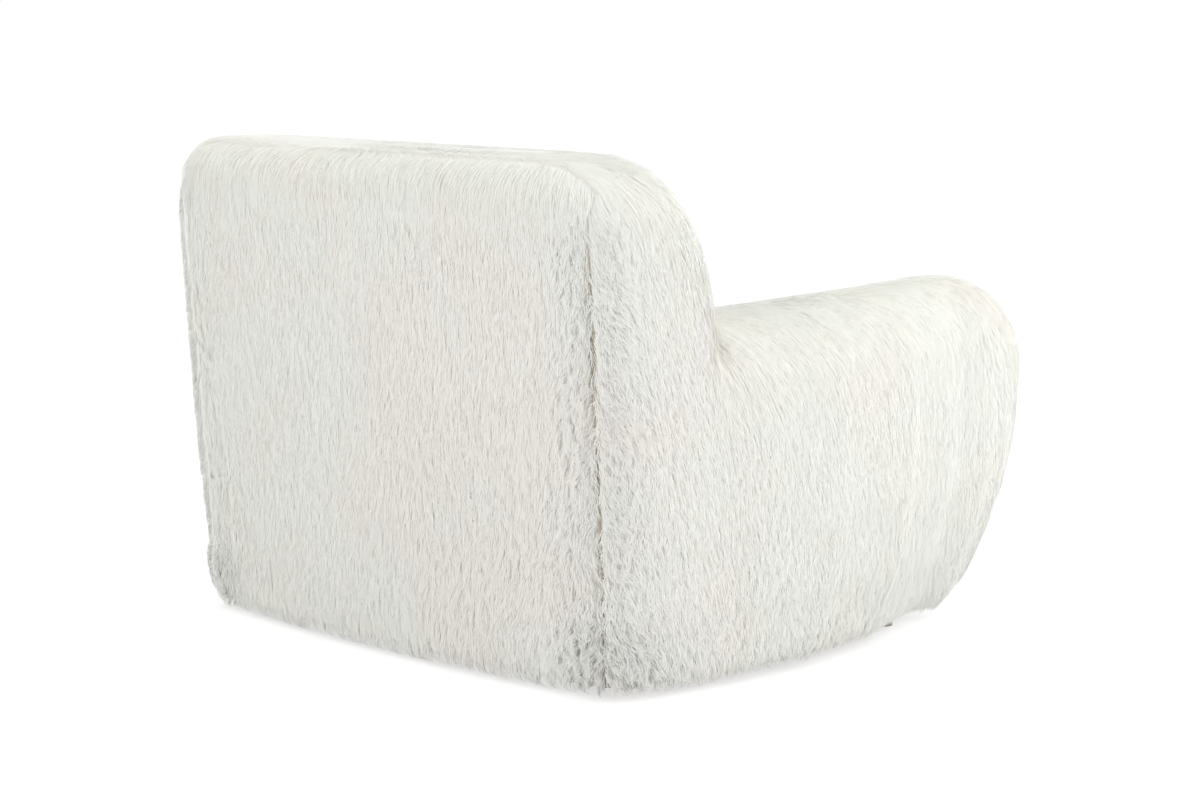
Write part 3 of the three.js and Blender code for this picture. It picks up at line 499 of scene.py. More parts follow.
def foam_material():
    """Cut foam, yellowed in places, with open cells"""
    material, tree, shader = new_material("cut_foam", roughness=0.95, specular=0.1)
    color = ramp(tree, noise_at(tree, 7.0, detail=4.0), [
        (0.35, srgb(226, 214, 176)),
        (0.7, srgb(240, 232, 205)),
    ])
    tree.links.new(color, shader.inputs["Base Color"])
    add_bump(tree, shader, cells_at(tree, 620.0), 1.2 * MM, 0.7)
    return material


def woven_material(name, dark, light, threads, roughness=0.9):
    """Two sets of threads crossing, lighter where they rise"""
    material, tree, shader = new_material(name, roughness, specular=0.15)
    crossing = product(tree, threads_at(tree, threads, "X"), threads_at(tree, threads, "Y"))
    color = ramp(tree, crossing, [(0.05, dark), (0.6, light)])
    shades = [(0.3, srgb(232, 232, 232)), (0.7, srgb(255, 255, 255))]
    uneven = ramp(tree, noise_at(tree, 14.0), shades)
    tree.links.new(mixed(tree, 1.0, color, uneven, "MULTIPLY"), shader.inputs["Base Color"])
    add_bump(tree, shader, crossing, 0.5 * MM, 0.6)
    return material


def upright_weave(name, dark, light, threads):
    """As woven, on cloth that stands upright across the chair"""
    material, tree, shader = new_material(name, roughness=0.9, specular=0.15)
    crossing = product(tree, threads_at(tree, threads, "X"), threads_at(tree, threads, "Z"))
    tree.links.new(ramp(tree, crossing, [(0.05, dark), (0.6, light)]), shader.inputs["Base Color"])
    add_bump(tree, shader, crossing, 0.5 * MM, 0.6)
    return material


def metal_material(name, dark, light, roughness, scratches):
    """Metal with a slightly uneven tone and fine drawn lines"""
    material, tree, shader = new_material(name, roughness, specular=0.5)
    shader.inputs["Metallic"].default_value = 1.0
    lines = noise_at(tree, 90.0, detail=5.0, stretch=scratches)
    tree.links.new(ramp(tree, lines, [(0.3, dark), (0.7, light)]), shader.inputs["Base Color"])
    add_bump(tree, shader, lines, 0.2 * MM, 0.3)
    return material


def plastic_material(name, dark, light, roughness):
    """Moulded plastic with a fine grain"""
    material, tree, shader = new_material(name, roughness, specular=0.45)
    color = ramp(tree, noise_at(tree, 55.0), [(0.3, dark), (0.7, light)])
    tree.links.new(color, shader.inputs["Base Color"])
    add_bump(tree, shader, noise_at(tree, 900.0), 0.15 * MM, 0.4)
    return material


# The upholstered forms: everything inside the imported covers, remeshed and smoothed
def joined_copy(names, foot):
    """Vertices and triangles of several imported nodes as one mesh, cut off flat at the foot"""
    places, corners, count = [], [], 0
    for name in names:
        mesh = nodes[name].data
        places.append(vertex_places(mesh))
        corners.append(triangles_of(mesh) + count)
        count += len(mesh.vertices)
    places = np.concatenate(places)
    places[:, 2] = np.maximum(places[:, 2], foot)
    return mesh_from("joined", places, [np.concatenate(corners)])


def remeshed(mesh, voxel):
    holder = add_object("remesh", mesh)
    modifier = holder.modifiers.new("voxels", "REMESH")
    modifier.mode = "VOXEL"
    modifier.voxel_size = voxel
    graph = bpy.context.evaluated_depsgraph_get()
    result = bpy.data.meshes.new_from_object(holder.evaluated_get(graph))
    bpy.data.objects.remove(holder)
    return result


def quads_of(mesh):
    corners = np.empty(len(mesh.loops), np.int32)
    mesh.loops.foreach_get("vertex_index", corners)
    return corners.reshape(-1, 4)


def largest_island(places, quads):
    """Only the faces that hang together with the widest part"""
    label = np.arange(len(places))
    edges = np.concatenate([quads[:, [0, 1]], quads[:, [1, 2]], quads[:, [2, 3]], quads[:, [3, 0]]])
    while True:
        low = np.minimum(label[edges[:, 0]], label[edges[:, 1]])
        updated = label.copy()
        np.minimum.at(updated, edges[:, 0], low)
        np.minimum.at(updated, edges[:, 1], low)
        updated = updated[updated]
        if np.array_equal(updated, label):
            break
        label = updated
    biggest = np.bincount(label).argmax()
    kept = label == biggest
    index = np.cumsum(kept) - 1
    return places[kept], index[quads[kept[quads[:, 0]]]]


def neighbour_sums(values, quads, count):
    """For each vertex, the sum of its neighbours' values and how many there are"""
    total = np.zeros((count, values.shape[1]))
    degree = np.zeros(count)
    for side in range(4):
        a = quads[:, side]
        b = quads[:, (side + 1) % 4]
        for axis in range(values.shape[1]):
            total[:, axis] += np.bincount(a, values[b, axis], count)
            total[:, axis] += np.bincount(b, values[a, axis], count)
        degree += np.bincount(a, minlength=count) + np.bincount(b, minlength=count)
    return total, degree[:, None]


def smoothed(places, quads, rounds):
    """Low-pass smoothing that rounds facets off and keeps the volume"""
    for turn in range(2 * rounds):
        total, degree = neighbour_sums(places, quads, len(places))
        step = SMOOTH_SHRINK if turn % 2 == 0 else SMOOTH_GROW
        places = places + step * (total / degree - places)
    return places


def settled(places, quads):
    """Rounds the filling's high edges off, where the pile rolls over the back"""
    high = 0.5 * smooth_step(SETTLE_FROM, SETTLE_FULL, places[:, 2:])
    for turn in range(SETTLE_ROUNDS):
        total, degree = neighbour_sums(places, quads, len(places))
        places = places + high * (total / degree - places)
    return places


def softened(normals, quads):
    """The same normals turning more gently over the edges, as deep pile does"""
    for turn in range(NORMAL_ROUNDS):
        total, degree = neighbour_sums(normals, quads, len(normals))
        normals = unit(0.5 * normals + 0.5 * total / degree)
    return normals


def vertex_normals(places, quads):
    diagonal_a = places[quads[:, 2]] - places[quads[:, 0]]
    diagonal_b = places[quads[:, 3]] - places[quads[:, 1]]
    face = np.cross(diagonal_a, diagonal_b)
    total = np.zeros_like(places)
    for side in range(4):
        for axis in range(3):
            total[:, axis] += np.bincount(quads[:, side], face[:, axis], len(places))
    return unit(total)


def rear_corner(places):
    """1 where the seams at the rear corners lie open, 0 for the seams that the pile hides"""
    return smooth_step(0.2, 0.35, places[:, 1]) * (1 - smooth_step(0.58, 0.67, places[:, 2]))


class Form:
    """A closed surface of quads that knows how far each vertex is from each panel and seam"""

    def __init__(self, inside, panels, voxel, foot, rests_on):
        places, quads = largest_island(*self.remesh(panels + inside, voxel, foot))
        self.quads = quads
        self.voxel = voxel
        self.outer = settled(smoothed(places, quads, SMOOTH_ROUNDS), quads)
        self.normals = vertex_normals(self.outer, quads)
        self.soft_normals = softened(self.normals, quads)
        self.panels = panels
        self.distances = self.measure(panels)
        self.find_seams()
        on_rest = self.distances.argmin(axis=1) == panels.index(rests_on)
        depth = np.where(on_rest, REST_DEPTH, BASE_DEPTH)[:, None]
        total, degree = neighbour_sums(depth, quads, len(depth))
        self.depth = total / degree
        groove = np.exp(-((self.seam / SEAM_GROOVE_HALF_WIDTH) ** 2))[:, None] * SEAM_GROOVE
        groove *= 1 - smooth_step(*GROOVE_FADES, self.outer[:, 2:])
        self.inner = self.outer - self.normals * (self.depth + groove * (self.depth / BASE_DEPTH))
        if foot > 0:
            self.inner[:, 2] = np.where(self.outer[:, 2] < foot + 3 * MM, foot, self.inner[:, 2])

    @staticmethod
    def remesh(names, voxel, foot):
        mesh = remeshed(joined_copy(names, foot), voxel)
        return vertex_places(mesh), quads_of(mesh)

    def measure(self, panels):
        columns = []
        for name in panels:
            mesh = nodes[name].data
            tree = BVHTree.FromPolygons(
                [tuple(place) for place in vertex_places(mesh)],
                [tuple(corners) for corners in triangles_of(mesh).tolist()],
            )
            columns.append([tree.find_nearest(place)[3] for place in self.outer.tolist()])
        return np.array(columns).T

    def find_seams(self):
        """Distance to the nearest seam, and the way along the surface that leads from it"""
        ranked = np.sort(self.distances, axis=1)
        self.seam = ranked[:, 1] - ranked[:, 0]
        on_seam = np.flatnonzero((self.seam < self.voxel) & (ranked[:, 0] < self.voxel))
        tree = KDTree(len(on_seam))
        for index in on_seam:
            tree.insert(self.outer[index], int(index))
        tree.balance()
        self.away = np.zeros_like(self.outer)
        for index in np.flatnonzero(self.seam < SEAM_REACH):
            place = self.outer[index]
            found = tree.find_n(place, SEAM_NEIGHBOURS)
            middle = np.mean([found_place for found_place, _, _ in found], axis=0)
            self.away[index] = place - middle
        total, degree = neighbour_sums(self.away, self.quads, len(self.outer))
        self.away = unit(total / degree)

    def base(self, name, material):
        """The backing cloth, with painted shade along its seams"""
        made = add_object(name, mesh_from(name, self.inner, [self.quads]))
        made.data.materials.append(material)
        attribute = made.data.attributes.new("tone", "FLOAT", "POINT")
        # Painted shade along the seams, strongest at the rear corners where they lie open
        rear_weight = rear_corner(self.outer)
        tone = 1 - (0.25 + 0.75 * rear_weight) * (1 - smooth_step(*BACKING_SEAM_SHADE, self.seam))
        attribute.data.foreach_set("value", tone.astype(np.float32))
        return made


class Spots:
    """Random spots on a form's surface, with what the pile there has to know"""

    def __init__(self, form, rng):
        triangles = np.concatenate([form.quads[:, [0, 1, 2]], form.quads[:, [0, 2, 3]]])
        a, b, c = (form.outer[triangles[:, corner]] for corner in range(3))
        area = np.linalg.norm(np.cross(b - a, c - a), axis=1) / 2
        count = int(area.sum() * STRANDS_PER_M2)
        chosen = rng.choice(len(triangles), count, p=area / area.sum())
        first = np.sqrt(rng.uniform(0, 1, count))
        second = rng.uniform(0, 1, count)
        shares = np.stack([1 - first, first * (1 - second), first * second], axis=1)
        corners = triangles[chosen]

        def at(values):
            return np.einsum("nc,nc...->n...", shares, values[corners])

        self.outer = at(form.outer)
        self.roots = at(form.inner)
        self.normals = unit(at(form.soft_normals))
        self.facing = at(form.normals)[:, 2]
        self.away = at(form.away)
        distances = at(form.distances)
        ranked = np.sort(distances, axis=1)
        self.seam = ranked[:, 1] - ranked[:, 0]
        self.panel = distances.argmin(axis=1)
        self.draw = rng.uniform(0, 1, count)

    def on(self, form, name):
        return self.panel == form.panels.index(name)


def along_surface(vectors, normals):
    return unit(vectors - normals * dot(vectors, normals))


def strands(name, roots, normals, along, drawn, length, lift, width, tone, foot, rng, material):
    """Flat tapering strands in one mesh, each bent along the surface and lit much as it is"""
    count = len(roots)
    across = unit(np.cross(along, normals))
    twist = rng.normal(0, TWIST, (count, 1))
    across = across * np.cos(twist) + normals * np.sin(twist)
    free = rng.uniform(0, 1, (count, 1)) < FREE_SHARE
    root = roots - normals * ROOT_DEPTH
    middle = roots + normals * lift * BEND_HEIGHT + along * length * BEND + drawn * BEND_DRAW
    tip_height = np.where(free, FREE_TIP_HEIGHT, TIP_HEIGHT)
    tip = roots + normals * lift * tip_height + along * length + drawn
    half = width / 2
    ring = [root - across * half, root + across * half]
    ring += [middle + across * half * BEND_WIDTH, middle - across * half * BEND_WIDTH, tip]
    spots = np.stack(ring, axis=1)
    spots[:, :, 2] = np.maximum(spots[:, :, 2], foot)
    first = np.arange(count)[:, None] * len(ring)
    mesh = mesh_from(name, spots.reshape(-1, 3), [
        first + np.array([[0, 1, 2, 3]]),
        first + np.array([[3, 2, 4]]),
    ])
    face = unit(np.cross(across, middle - root))
    shading = unit(normals + FACE_SHADING * face)
    mesh.normals_split_custom_set_from_vertices(np.repeat(shading, len(ring), axis=0))
    attribute = mesh.attributes.new("tone", "FLOAT", "POINT")
    # Painted shade at the roots, painted light at the tips
    root_shade_tip_light = np.array([ROOT_PAINTED_SHADE, ROOT_PAINTED_SHADE, 0, 0, TIP_PAINTED_LIGHT])
    # Painted shade: the strands' lowest millimetres darken towards the floor, standing in for the
    # contact shadow there
    hem_contact_shade = np.clip(1 - (spots[:, :, 2] - foot) / HEM_EDGE, 0, 1)
    values = np.clip(tone + root_shade_tip_light[None, :] - HEM_EDGE_SHADE * hem_contact_shade, 0, 1)
    attribute.data.foreach_set("value", values.ravel().astype(np.float32))
    add_strand_map(mesh, count)
    mesh.materials.append(material)
    return add_object(name, mesh)


STRAND_MAP = np.array([[0.2, 0.1], [0.8, 0.1], [0.8, 0.5], [0.2, 0.5], [0.5, 0.9]])


def add_strand_map(mesh, count):
    """A place of its own for each strand on a map named OFBake"""
    columns = math.ceil(math.sqrt(count))
    index = np.arange(count)
    corner = np.stack([index % columns, index // columns], axis=1)
    spots = ((corner[:, None] + STRAND_MAP[None]) / columns).reshape(-1, 2)
    loops = np.empty(len(mesh.loops), np.int32)
    mesh.loops.foreach_get("vertex_index", loops)
    layer = mesh.uv_layers.new(name="OFBake")
    layer.data.foreach_set("uv", spots[loops].astype(np.float32).ravel())


def tufts(places, size, seed):
    """For each place, the number of its tuft and the middle of that tuft"""
    moved = places + 0.6 * size * lattice_noise(places, 2.5 * size, seed)
    corner = np.floor(moved / size).astype(np.int64)
    corner -= corner.min(axis=0)
    reach = corner.max(axis=0) + 1
    key = (corner[:, 0] * reach[1] + corner[:, 1]) * reach[2] + corner[:, 2]
    tuft = np.unique(key, return_inverse=True)[1]
    number = np.bincount(tuft)
    middles = [np.bincount(tuft, places[:, axis]) / number for axis in range(3)]
    return tuft, np.stack(middles, axis=1)[tuft]


def flaring(places, foot):
    """1 a hand above the hem of the rear corners, where the pile stands out"""
    above = places[:, 2:] - foot
    low = smooth_step(*FLARE_GROWS, above) * (1 - smooth_step(*FLARE_FADES, above))
    rear = smooth_step(0.2, 0.4, places[:, 1:2])
    return low * rear * smooth_step(0.36, 0.44, np.abs(places[:, :1]))


def ruffling(spots):
    """0 where the pile lies smooth, 1 where tufts stand apart: by the seams and low down"""
    beside_seam = np.exp(-((spots.seam / SEAM_RUFFLE) ** 2))
    beside_seam *= smooth_step(*REAR_SEAMS, spots.outer[:, 1])
    beside_seam *= 1 - smooth_step(*HIGH_SEAMS, spots.outer[:, 2])
    low = np.clip(1 - spots.outer[:, 2] / LOW_HEIGHT, 0, 1)
    rear = smooth_step(*REAR_SIDE, spots.outer[:, 1])
    patches = lattice_noise(spots.outer, PATCH_WAVE, PATCH_SEED)[:, 0]
    right = smooth_step(*RIGHT_SIDE, -spots.outer[:, 0])
    amount = (0.5 + 0.7 * right) * beside_seam + 0.2 * patches
    amount += (0.25 + 0.3 * right) * low * (0.3 + 0.7 * rear)
    high = smooth_step(*SMOOTH_HEIGHTS, spots.outer[:, 2])
    amount -= 0.35 * (1 - beside_seam) * high
    return np.clip(amount, 0, MOST_RUFFLED)[:, None]


def by_ruffling(pair, ruffled):
    """A value for smooth pile, with what ruffling adds"""
    return pair[0] + pair[1] * ruffled


def lie_of_pile(form, spots, ruffled, comb_of, rng):
    """Each strand's way along the surface, its pull to its tuft, its tuft's lean, its seam's weight"""
    places = spots.outer
    comb, away_weight = comb_of(form, spots)
    comb = comb + BROAD_SWAY * lattice_noise(places, BROAD_WAVE, BROAD_SEED)
    narrow = lattice_noise(places, NARROW_WAVE, NARROW_SEED)
    comb = comb + by_ruffling(NARROW_SWAY, ruffled) * narrow
    tuft, middle = tufts(places, TUFT, TUFT_SEED)
    lean = rng.uniform(-1, 1, (tuft.max() + 1, 3))[tuft]
    comb = comb + by_ruffling(TUFT_LEAN, ruffled) * lean
    near = np.clip(1 - spots.seam / SEAM_REACH, 0, 1)[:, None]
    wander = lattice_noise(places, SEAM_WAVE, SEAM_SEED)[:, :1]
    away_weight = away_weight + SEAM_WANDER * wander * (away_weight != 0)
    comb = comb + away_weight * near**1.5 * spots.away
    along = along_surface(comb, spots.normals)
    turned = rng.normal(0, 1, (len(places), 1)) * by_ruffling(STRAND_TURN, ruffled)
    along = unit(along + np.cross(spots.normals, along) * turned)
    drawn = (middle - places) * by_ruffling(TUFT_DRAW, ruffled)
    return along, drawn, lean, away_weight


def size_of_pile(spots, ruffled, lean, pressed, foot, rng):
    """Length, lift and width of each strand"""
    count = len(spots.outer)
    smooth = 1 - np.clip(ruffled, 0, 1)
    length = STRAND_LENGTH * rng.uniform(*LENGTHS, (count, 1))
    length *= 1 + SMOOTH_LONGER * smooth - RUFFLED_SHORTER * ruffled
    rise = 1 + rng.uniform(-0.1, 0.1, (count, 1)) * by_ruffling(RISE_SPREAD, ruffled)
    fullness = by_ruffling(FULLNESS, ruffled) + by_ruffling(LEAN_LIFT, ruffled) * lean[:, :1]
    lift = STRAND_LIFT * rise * fullness
    lift *= 1 - HIGH_LOWER * smooth_step(*HIGH_PILE, spots.outer[:, 2:])
    valley = 0.5 + 0.5 * smooth_step(0, SEAM_VALLEY, spots.seam)[:, None]
    lift = np.where(pressed, PRESSED_LIFT, lift) * valley
    lift = lift + HEM_FLARE * flaring(spots.outer, foot)
    width = STRAND_WIDTH * rng.uniform(*WIDTHS, (count, 1))
    width = width * (1 - SMOOTH_FINER * smooth + RUFFLED_WIDER * ruffled)
    return length, lift, width


def tone_of_pile(spots, ruffled, lean, away_weight, foot, rng):
    """Tone of each strand: uneven at random, with painted shade along the seams and towards the hem"""
    tone = MEAN_TONE + rng.uniform(-0.1, 0.1, (len(spots.outer), 1))
    tone = tone + TUFT_TONE * lean[:, 1:2] * ruffled
    # Painted shade towards the hem, near the floor
    tone -= HEM_SHADE * np.clip(1 - (spots.outer[:, 2:] - foot) / HEM_SHADE_HEIGHT, 0, 1)
    # Painted shade along the seams, where the pile parts
    by_seam = np.exp(-((spots.seam[:, None] / SEAM_SHADE_WIDTH) ** 2))
    return tone - SEAM_SHADE * by_seam * (away_weight != 0)


def planted(spots, pressed):
    """True where a strand stands: thinner under the cushion, none in an open seam or underneath"""
    places = spots.outer
    thinned = pressed[:, 0] & (spots.draw > HIDDEN_SHARE)
    uneven = lattice_noise(places, PARTING_WAVE, PARTING_SEED)[:, 0]
    parting = SEAM_BARE * (0.8 + 1.2 * uneven) * rear_corner(places)
    standing = ~thinned & (spots.seam > parting)
    return standing & (places[:, 2] > FOOT_LEVEL + 1 * MM) & (spots.facing > FACES_DOWN)


def grow_pile(form, comb_of, zones, pressed_of, foot, body, material, seed):
    """Plants strands over a form, combed, parted at its seams and split in named zones"""
    rng = np.random.default_rng(seed)
    spots = Spots(form, rng)
    ruffled = ruffling(spots)
    pressed = pressed_of(form, spots)[:, None]
    along, drawn, lean, away_weight = lie_of_pile(form, spots, ruffled, comb_of, rng)
    length, lift, width = size_of_pile(spots, ruffled, lean, pressed, foot, rng)
    tone = tone_of_pile(spots, ruffled, lean, away_weight, foot, rng)
    each = (spots.roots, spots.normals, along, drawn, length, lift, width, tone)
    standing = planted(spots, pressed)
    for name, chosen in zones(form, spots):
        chosen = chosen & standing
        picked = [values[chosen] for values in each]
        piece = strands(name, *picked, foot, rng, material)
        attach(piece, body)
        print("scene:", name, chosen.sum())


DOWN = np.array([0, 0, -1.0])
BACK_SLOPE = np.array([0, 0.3, 0])
OVER_TOP = (0.69, 0.75)  # heights past which no seam parts the pile
PRESSED_BACK_TOP = 0.42
HIGH_ZONE = 0.39
REAR_ZONE = 0.12
FRONT_ZONE = -0.22


def body_comb(form, spots):
    """Brushed down, and outwards and to the front on level stretches"""
    side = np.tanh(spots.outer[:, :1] / 0.2)
    outwards, forwards, down = 0.25 * side, np.full_like(side, -0.22), np.full_like(side, -1.0)
    comb = np.concatenate([outwards, forwards, down], axis=1)
    back = spots.on(form, "outside_back_cover")[:, None]
    comb = np.where(back, DOWN + BACK_SLOPE, comb)
    weight = np.where(back, 0.12, 0.6)
    over_top = smooth_step(*OVER_TOP, spots.outer[:, 2:])
    return comb, weight * (1 - over_top)


def body_pressed(form, spots):
    """Where the loose cushion lies against the body"""
    inside = spots.on(form, "left_inside_arm_cover") | spots.on(form, "right_inside_arm_cover")
    low_back = spots.on(form, "inside_back_cover") & (spots.outer[:, 2] < PRESSED_BACK_TOP)
    return inside | low_back


def body_zones(form, spots):
    left = spots.outer[:, 0] > 0
    high = spots.outer[:, 2] > HIGH_ZONE
    rear = spots.outer[:, 1] > REAR_ZONE
    front = spots.outer[:, 1] < FRONT_ZONE
    back = spots.on(form, "outside_back_cover")
    for level, at_level in (("upper", high), ("lower", ~high)):
        yield f"{level}_outside_back_pile_left", back & at_level & left
        yield f"{level}_outside_back_pile_right", back & at_level & ~left
    for side in ("left", "right"):
        whole = spots.on(form, f"{side}_outside_arm_cover")
        yield f"{side}_shoulder_pile", whole & rear & high
        yield f"{side}_rear_side_pile", whole & rear & ~high
        yield f"{side}_arm_crest_pile", whole & ~rear & high
        yield f"{side}_arm_side_pile", whole & ~rear & ~high & ~front
        yield f"{side}_arm_front_pile", whole & ~rear & ~high & front
        yield f"{side}_inside_arm_pile", spots.on(form, f"{side}_inside_arm_cover")
    inside_back = spots.on(form, "inside_back_cover")
    yield "inside_back_pile_left", inside_back & left
    yield "inside_back_pile_right", inside_back & ~left
    yield "front_border_pile", spots.on(form, "front_border_cover")


print("scene: kit ready")
bpy.context.scene.cycles.diffuse_bounces = PILE_BOUNCES
add_camera()
add_world()
add_floor()
add_lamp("key", KEY_PLACE, KEY_SIZE, KEY_POWER)
add_lamp("fill", FILL_PLACE, FILL_SIZE, FILL_POWER)

pile = pile_material()
backing = backing_material()

body_panels = [
    "outside_back_cover",
    "inside_back_cover",
    "left_outside_arm_cover",
    "right_outside_arm_cover",
    "left_inside_arm_cover",
    "right_inside_arm_cover",
    "front_border_cover",
    "deck_cloth",
]
body_foams = ["front_border_foam", "back_foam", "left_arm_foam", "right_arm_foam"]
body_frame = [name for name in nodes if name.endswith(("_rail", "_board", "_post"))]
body_inside = ["deck_pad"] + body_foams + body_frame
body_form = Form(body_inside, body_panels, BODY_VOXEL, FOOT_LEVEL, "deck_cloth")
body_base = body_form.base("upholstered_body", backing)
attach(body_base, "chair")
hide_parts(*[name for name in body_panels + body_foams if name != "deck_cloth"])
print("scene: body form", len(body_form.outer))
grow_pile(body_form, body_comb, body_zones, body_pressed, PILE_FOOT, "chair", pile, seed=7)


# The loose cushion
CUSHION_COMB = np.array([0.0, -0.8, -0.75])
CUSHION_PARTING = 0.45
PRESSED_BORDER_FRONT = -0.36
ZIP_FACE = 0.18
ZIP_HALF_LENGTH = 0.224
ZIP_HALF_HEIGHT = 19 * MM


def cushion_comb(form, spots):
    """Brushed to the front over the top, and down its sides"""
    comb = np.tile(CUSHION_COMB, (len(spots.outer), 1))
    return comb, np.full((len(comb), 1), CUSHION_PARTING)


def cushion_pressed(form, spots):
    """Where the cushion lies between the arms and against the back"""
    border = spots.on(form, "cushion_border")
    return border & (spots.outer[:, 1] > PRESSED_BORDER_FRONT)


def cushion_zones(form, spots):
    left = spots.outer[:, 0] > 0
    top = spots.on(form, "cushion_top_panel")
    beside_zip = (spots.outer[:, 1] > ZIP_FACE) & (np.abs(spots.outer[:, 0]) < ZIP_HALF_LENGTH)
    beside_zip &= np.abs(spots.outer[:, 2] - ZIP_LEVEL) < ZIP_HALF_HEIGHT
    yield "cushion_top_pile_left", top & left
    yield "cushion_top_pile_right", top & ~left
    yield "cushion_border_pile", ~top & ~beside_zip


def middle_of(name, axis):
    low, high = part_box(name)
    return (low[axis] + high[axis]) / 2


ZIP_LEVEL = middle_of("cushion_zip_tape", 2)
cushion_panels = ["cushion_top_panel", "cushion_border", "cushion_bottom_panel"]
cushion_form = Form(
    ["cushion_core", "cushion_zip_tape"], cushion_panels, CUSHION_VOXEL, 0, "cushion_bottom_panel"
)
cushion = cushion_form.base("seat_cushion_cover", backing)
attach(cushion, "seat_cushion")
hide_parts(*cushion_panels)
grow_pile(
    cushion_form, cushion_comb, cushion_zones, cushion_pressed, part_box("cushion_bottom_panel")[0][2],
    "seat_cushion", pile, seed=11,
)


TOOTH_SIDES = 8
TOOTH_PITCH = 2.2 * MM
TOOTH_LEAN = 1.3  # in mm, to one side of the tape or to the other
TOOTH_RINGS = ((-2.4, 0.3), (-1.9, 0.75), (1.9, 0.75), (2.4, 0.3))  # heights and radii in mm


def tooth_rings(middle, lean):
    """One tooth of the zip: a short rounded bar across the tape"""
    rings = []
    for height, size in TOOTH_RINGS:
        angles = np.arange(TOOTH_SIDES) * 2 * np.pi / TOOTH_SIDES
        ring = np.stack([
            middle[0] + np.cos(angles) * size * 0.8 * MM,
            middle[1] + np.sin(angles) * size * MM,
            np.full(TOOTH_SIDES, middle[2] + (height + lean) * MM),
        ], axis=1)
        rings.append(ring)
    return np.concatenate(rings)


def add_zip_teeth():
    """Two rows of teeth that mesh down the middle of the tape"""
    low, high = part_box("cushion_zip_tape")
    count = int((high[0] - low[0] - 6 * MM) / TOOTH_PITCH)
    start = middle_of("cushion_zip_tape", 0) - (count - 1) / 2 * TOOTH_PITCH
    places, sides, ends = [], [], []
    around = np.arange(TOOTH_SIDES)
    following = (around + 1) % TOOTH_SIDES
    for index in range(count):
        first = index * len(TOOTH_RINGS) * TOOTH_SIDES
        lean = TOOTH_LEAN if index % 2 else -TOOTH_LEAN
        middle = (start + index * TOOTH_PITCH, high[1] + 0.3 * MM, ZIP_LEVEL)
        places.append(tooth_rings(middle, lean))
        for row in range(len(TOOTH_RINGS) - 1):
            a = first + row * TOOTH_SIDES
            b = a + TOOTH_SIDES
            sides.append(np.stack([a + around, a + following, b + following, b + around], axis=1))
        top = first + (len(TOOTH_RINGS) - 1) * TOOTH_SIDES + around
        ends.append(np.stack([first + around[::-1], top]))
    faces = [np.concatenate(sides), np.concatenate(ends)]
    mesh = mesh_from("cushion_zip_teeth", np.concatenate(places), faces)
    teeth = add_object("cushion_zip_teeth", mesh)
    nylon = plastic_material("zip_nylon", srgb(214, 208, 194), srgb(228, 223, 210), 0.35)
    teeth.data.materials.append(nylon)
    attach(teeth, "seat_cushion")


# Sheets of cloth
DECK_GRID = (90, 76)
DECK_RIPPLE = 0.4 * MM
DECK_THICKNESS = 0.9 * MM
DUST_GRID = (70, 48)
DUST_SAG = 1.6 * MM
DUST_THICKNESS = 0.6 * MM
DUST_EDGE_SHARE = 0.64  # of the half width: the dust cover's right edge lies past it


def thin_sheet(name, top, thickness):
    """A closed thin sheet from a grid of places on its upper side"""
    rows, columns = top.shape[:2]
    count = rows * columns
    below = top - np.array([0, 0, thickness])
    places = np.concatenate([top.reshape(-1, 3), below.reshape(-1, 3)])
    index = np.arange(count).reshape(rows, columns)
    corners = [index[:-1, :-1], index[:-1, 1:], index[1:, 1:], index[1:, :-1]]
    upper = np.stack([corner.ravel() for corner in corners], axis=1)
    lower = upper[:, ::-1] + count
    rim = np.concatenate([index[0], index[1:, -1], index[-1, -2::-1], index[-2:0:-1, 0]])
    following = np.roll(rim, -1)
    edge = np.stack([rim + count, following + count, following, rim], axis=1)
    return mesh_from(name, places, [np.concatenate([upper, lower, edge])])


def add_deck_sheet():
    """The deck cloth, pulled over its pad with faint ripples between the tacks"""
    low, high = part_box("deck_cloth")
    columns, rows = (np.linspace(low[axis], high[axis], DECK_GRID[axis]) for axis in range(2))
    x, y = np.meshgrid(columns, rows)
    drawn_out = np.stack([x, y * 0.25, 0 * x], axis=2).reshape(-1, 3)
    ripples = lattice_noise(drawn_out, RIPPLE_WAVE, RIPPLE_SEED)
    z = high[2] + DECK_RIPPLE * ripples[:, 0].reshape(x.shape)
    top = np.stack([x, y, z], axis=2)
    sheet = add_object("deck_sheet", thin_sheet("deck_sheet", top, DECK_THICKNESS))
    sheet.data.materials.append(woven_material(
        "deck_weave", srgb(178, 172, 156), srgb(226, 222, 208), threads=190.0
    ))
    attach(sheet, "chair")
    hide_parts("deck_cloth")


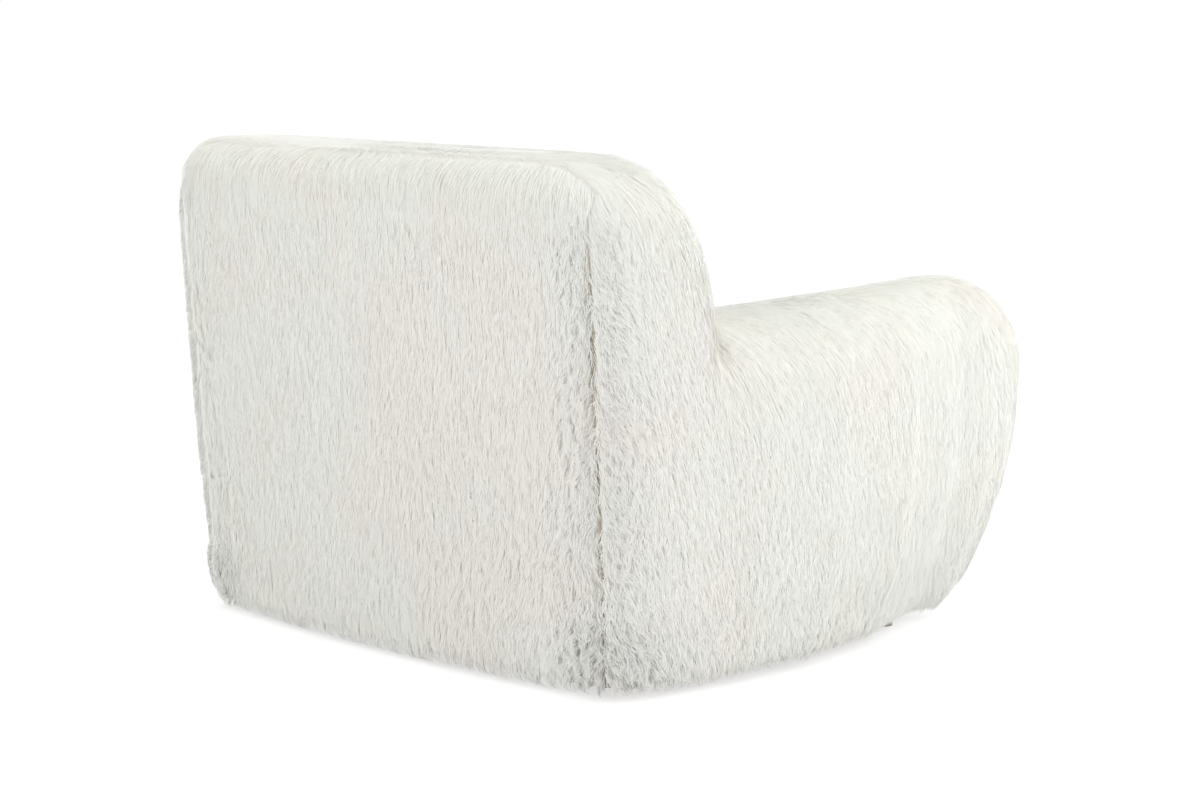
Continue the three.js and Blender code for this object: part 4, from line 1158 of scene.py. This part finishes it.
def add_dust_sheet():
    """The dust cover, tacked under the rails and sagging a little between them"""
    low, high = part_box("dust_cover")
    outline = vertex_places(nodes["dust_cover"].data)
    outline = outline[outline[:, 0] > DUST_EDGE_SHARE * high[0]]
    outline = outline[np.argsort(outline[:, 1])]
    y = np.linspace(low[1], high[1], DUST_GRID[1])
    half_width = np.interp(y, outline[:, 1], outline[:, 0])
    across = np.linspace(-1, 1, DUST_GRID[0])
    x = half_width[:, None] * across[None]
    sag = (1 - across[None] ** 2) * np.sin(np.pi * np.linspace(0, 1, len(y)))[:, None]
    z = high[2] - 0.3 * MM - DUST_SAG * sag
    top = np.stack([x, np.repeat(y[:, None], len(across), axis=1), z], axis=2)
    sheet = add_object("dust_sheet", thin_sheet("dust_sheet", top, DUST_THICKNESS))
    sheet.data.materials.append(woven_material(
        "dust_cloth_black", srgb(24, 24, 26), srgb(52, 51, 52), threads=260.0
    ))
    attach(sheet, "chair")
    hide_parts("dust_cover")


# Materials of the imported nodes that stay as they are
def dress(names, material):
    for name in names:
        for slot in nodes[name].material_slots:
            slot.link = "OBJECT"
            slot.material = material


def named(*endings):
    return [name for name in nodes if name.endswith(endings)]


add_zip_teeth()
add_deck_sheet()
add_dust_sheet()
dress(named("front_rail", "rear_rail", "spring_rail", "back_rail", "_slat"), wood_material("x"))
dress(named("side_rail", "arm_rail"), wood_material("y"))
dress(named("_board", "_post"), wood_material("z"))
dress(["deck_pad", "cushion_core"], foam_material())
dress([name for name in nodes if name.startswith("spring_") and name != "spring_rail"], metal_material(
    "spring_wire", srgb(96, 96, 100), srgb(150, 150, 154), 0.35, scratches=(1, 0.1, 1)
))
dress([name for name in nodes if "_clip_" in name], metal_material(
    "clip_steel", srgb(120, 118, 112), srgb(176, 174, 168), 0.45, scratches=(0.2, 1, 1)
))
dress(named("_webbing"), upright_weave("jute_webbing", srgb(120, 92, 56), srgb(178, 148, 102), 110.0))
dress(named("_glide"), plastic_material("glide_nylon", srgb(118, 111, 100), srgb(140, 132, 120), 0.45))
dress(["cushion_zip_tape"], upright_weave("zip_twill", srgb(200, 194, 178), srgb(236, 232, 220), 330.0))
dress(["cushion_zip_slider"], metal_material(
    "slider_zinc", srgb(150, 147, 140), srgb(196, 193, 186), 0.3, scratches=(1, 1, 0.15)
))
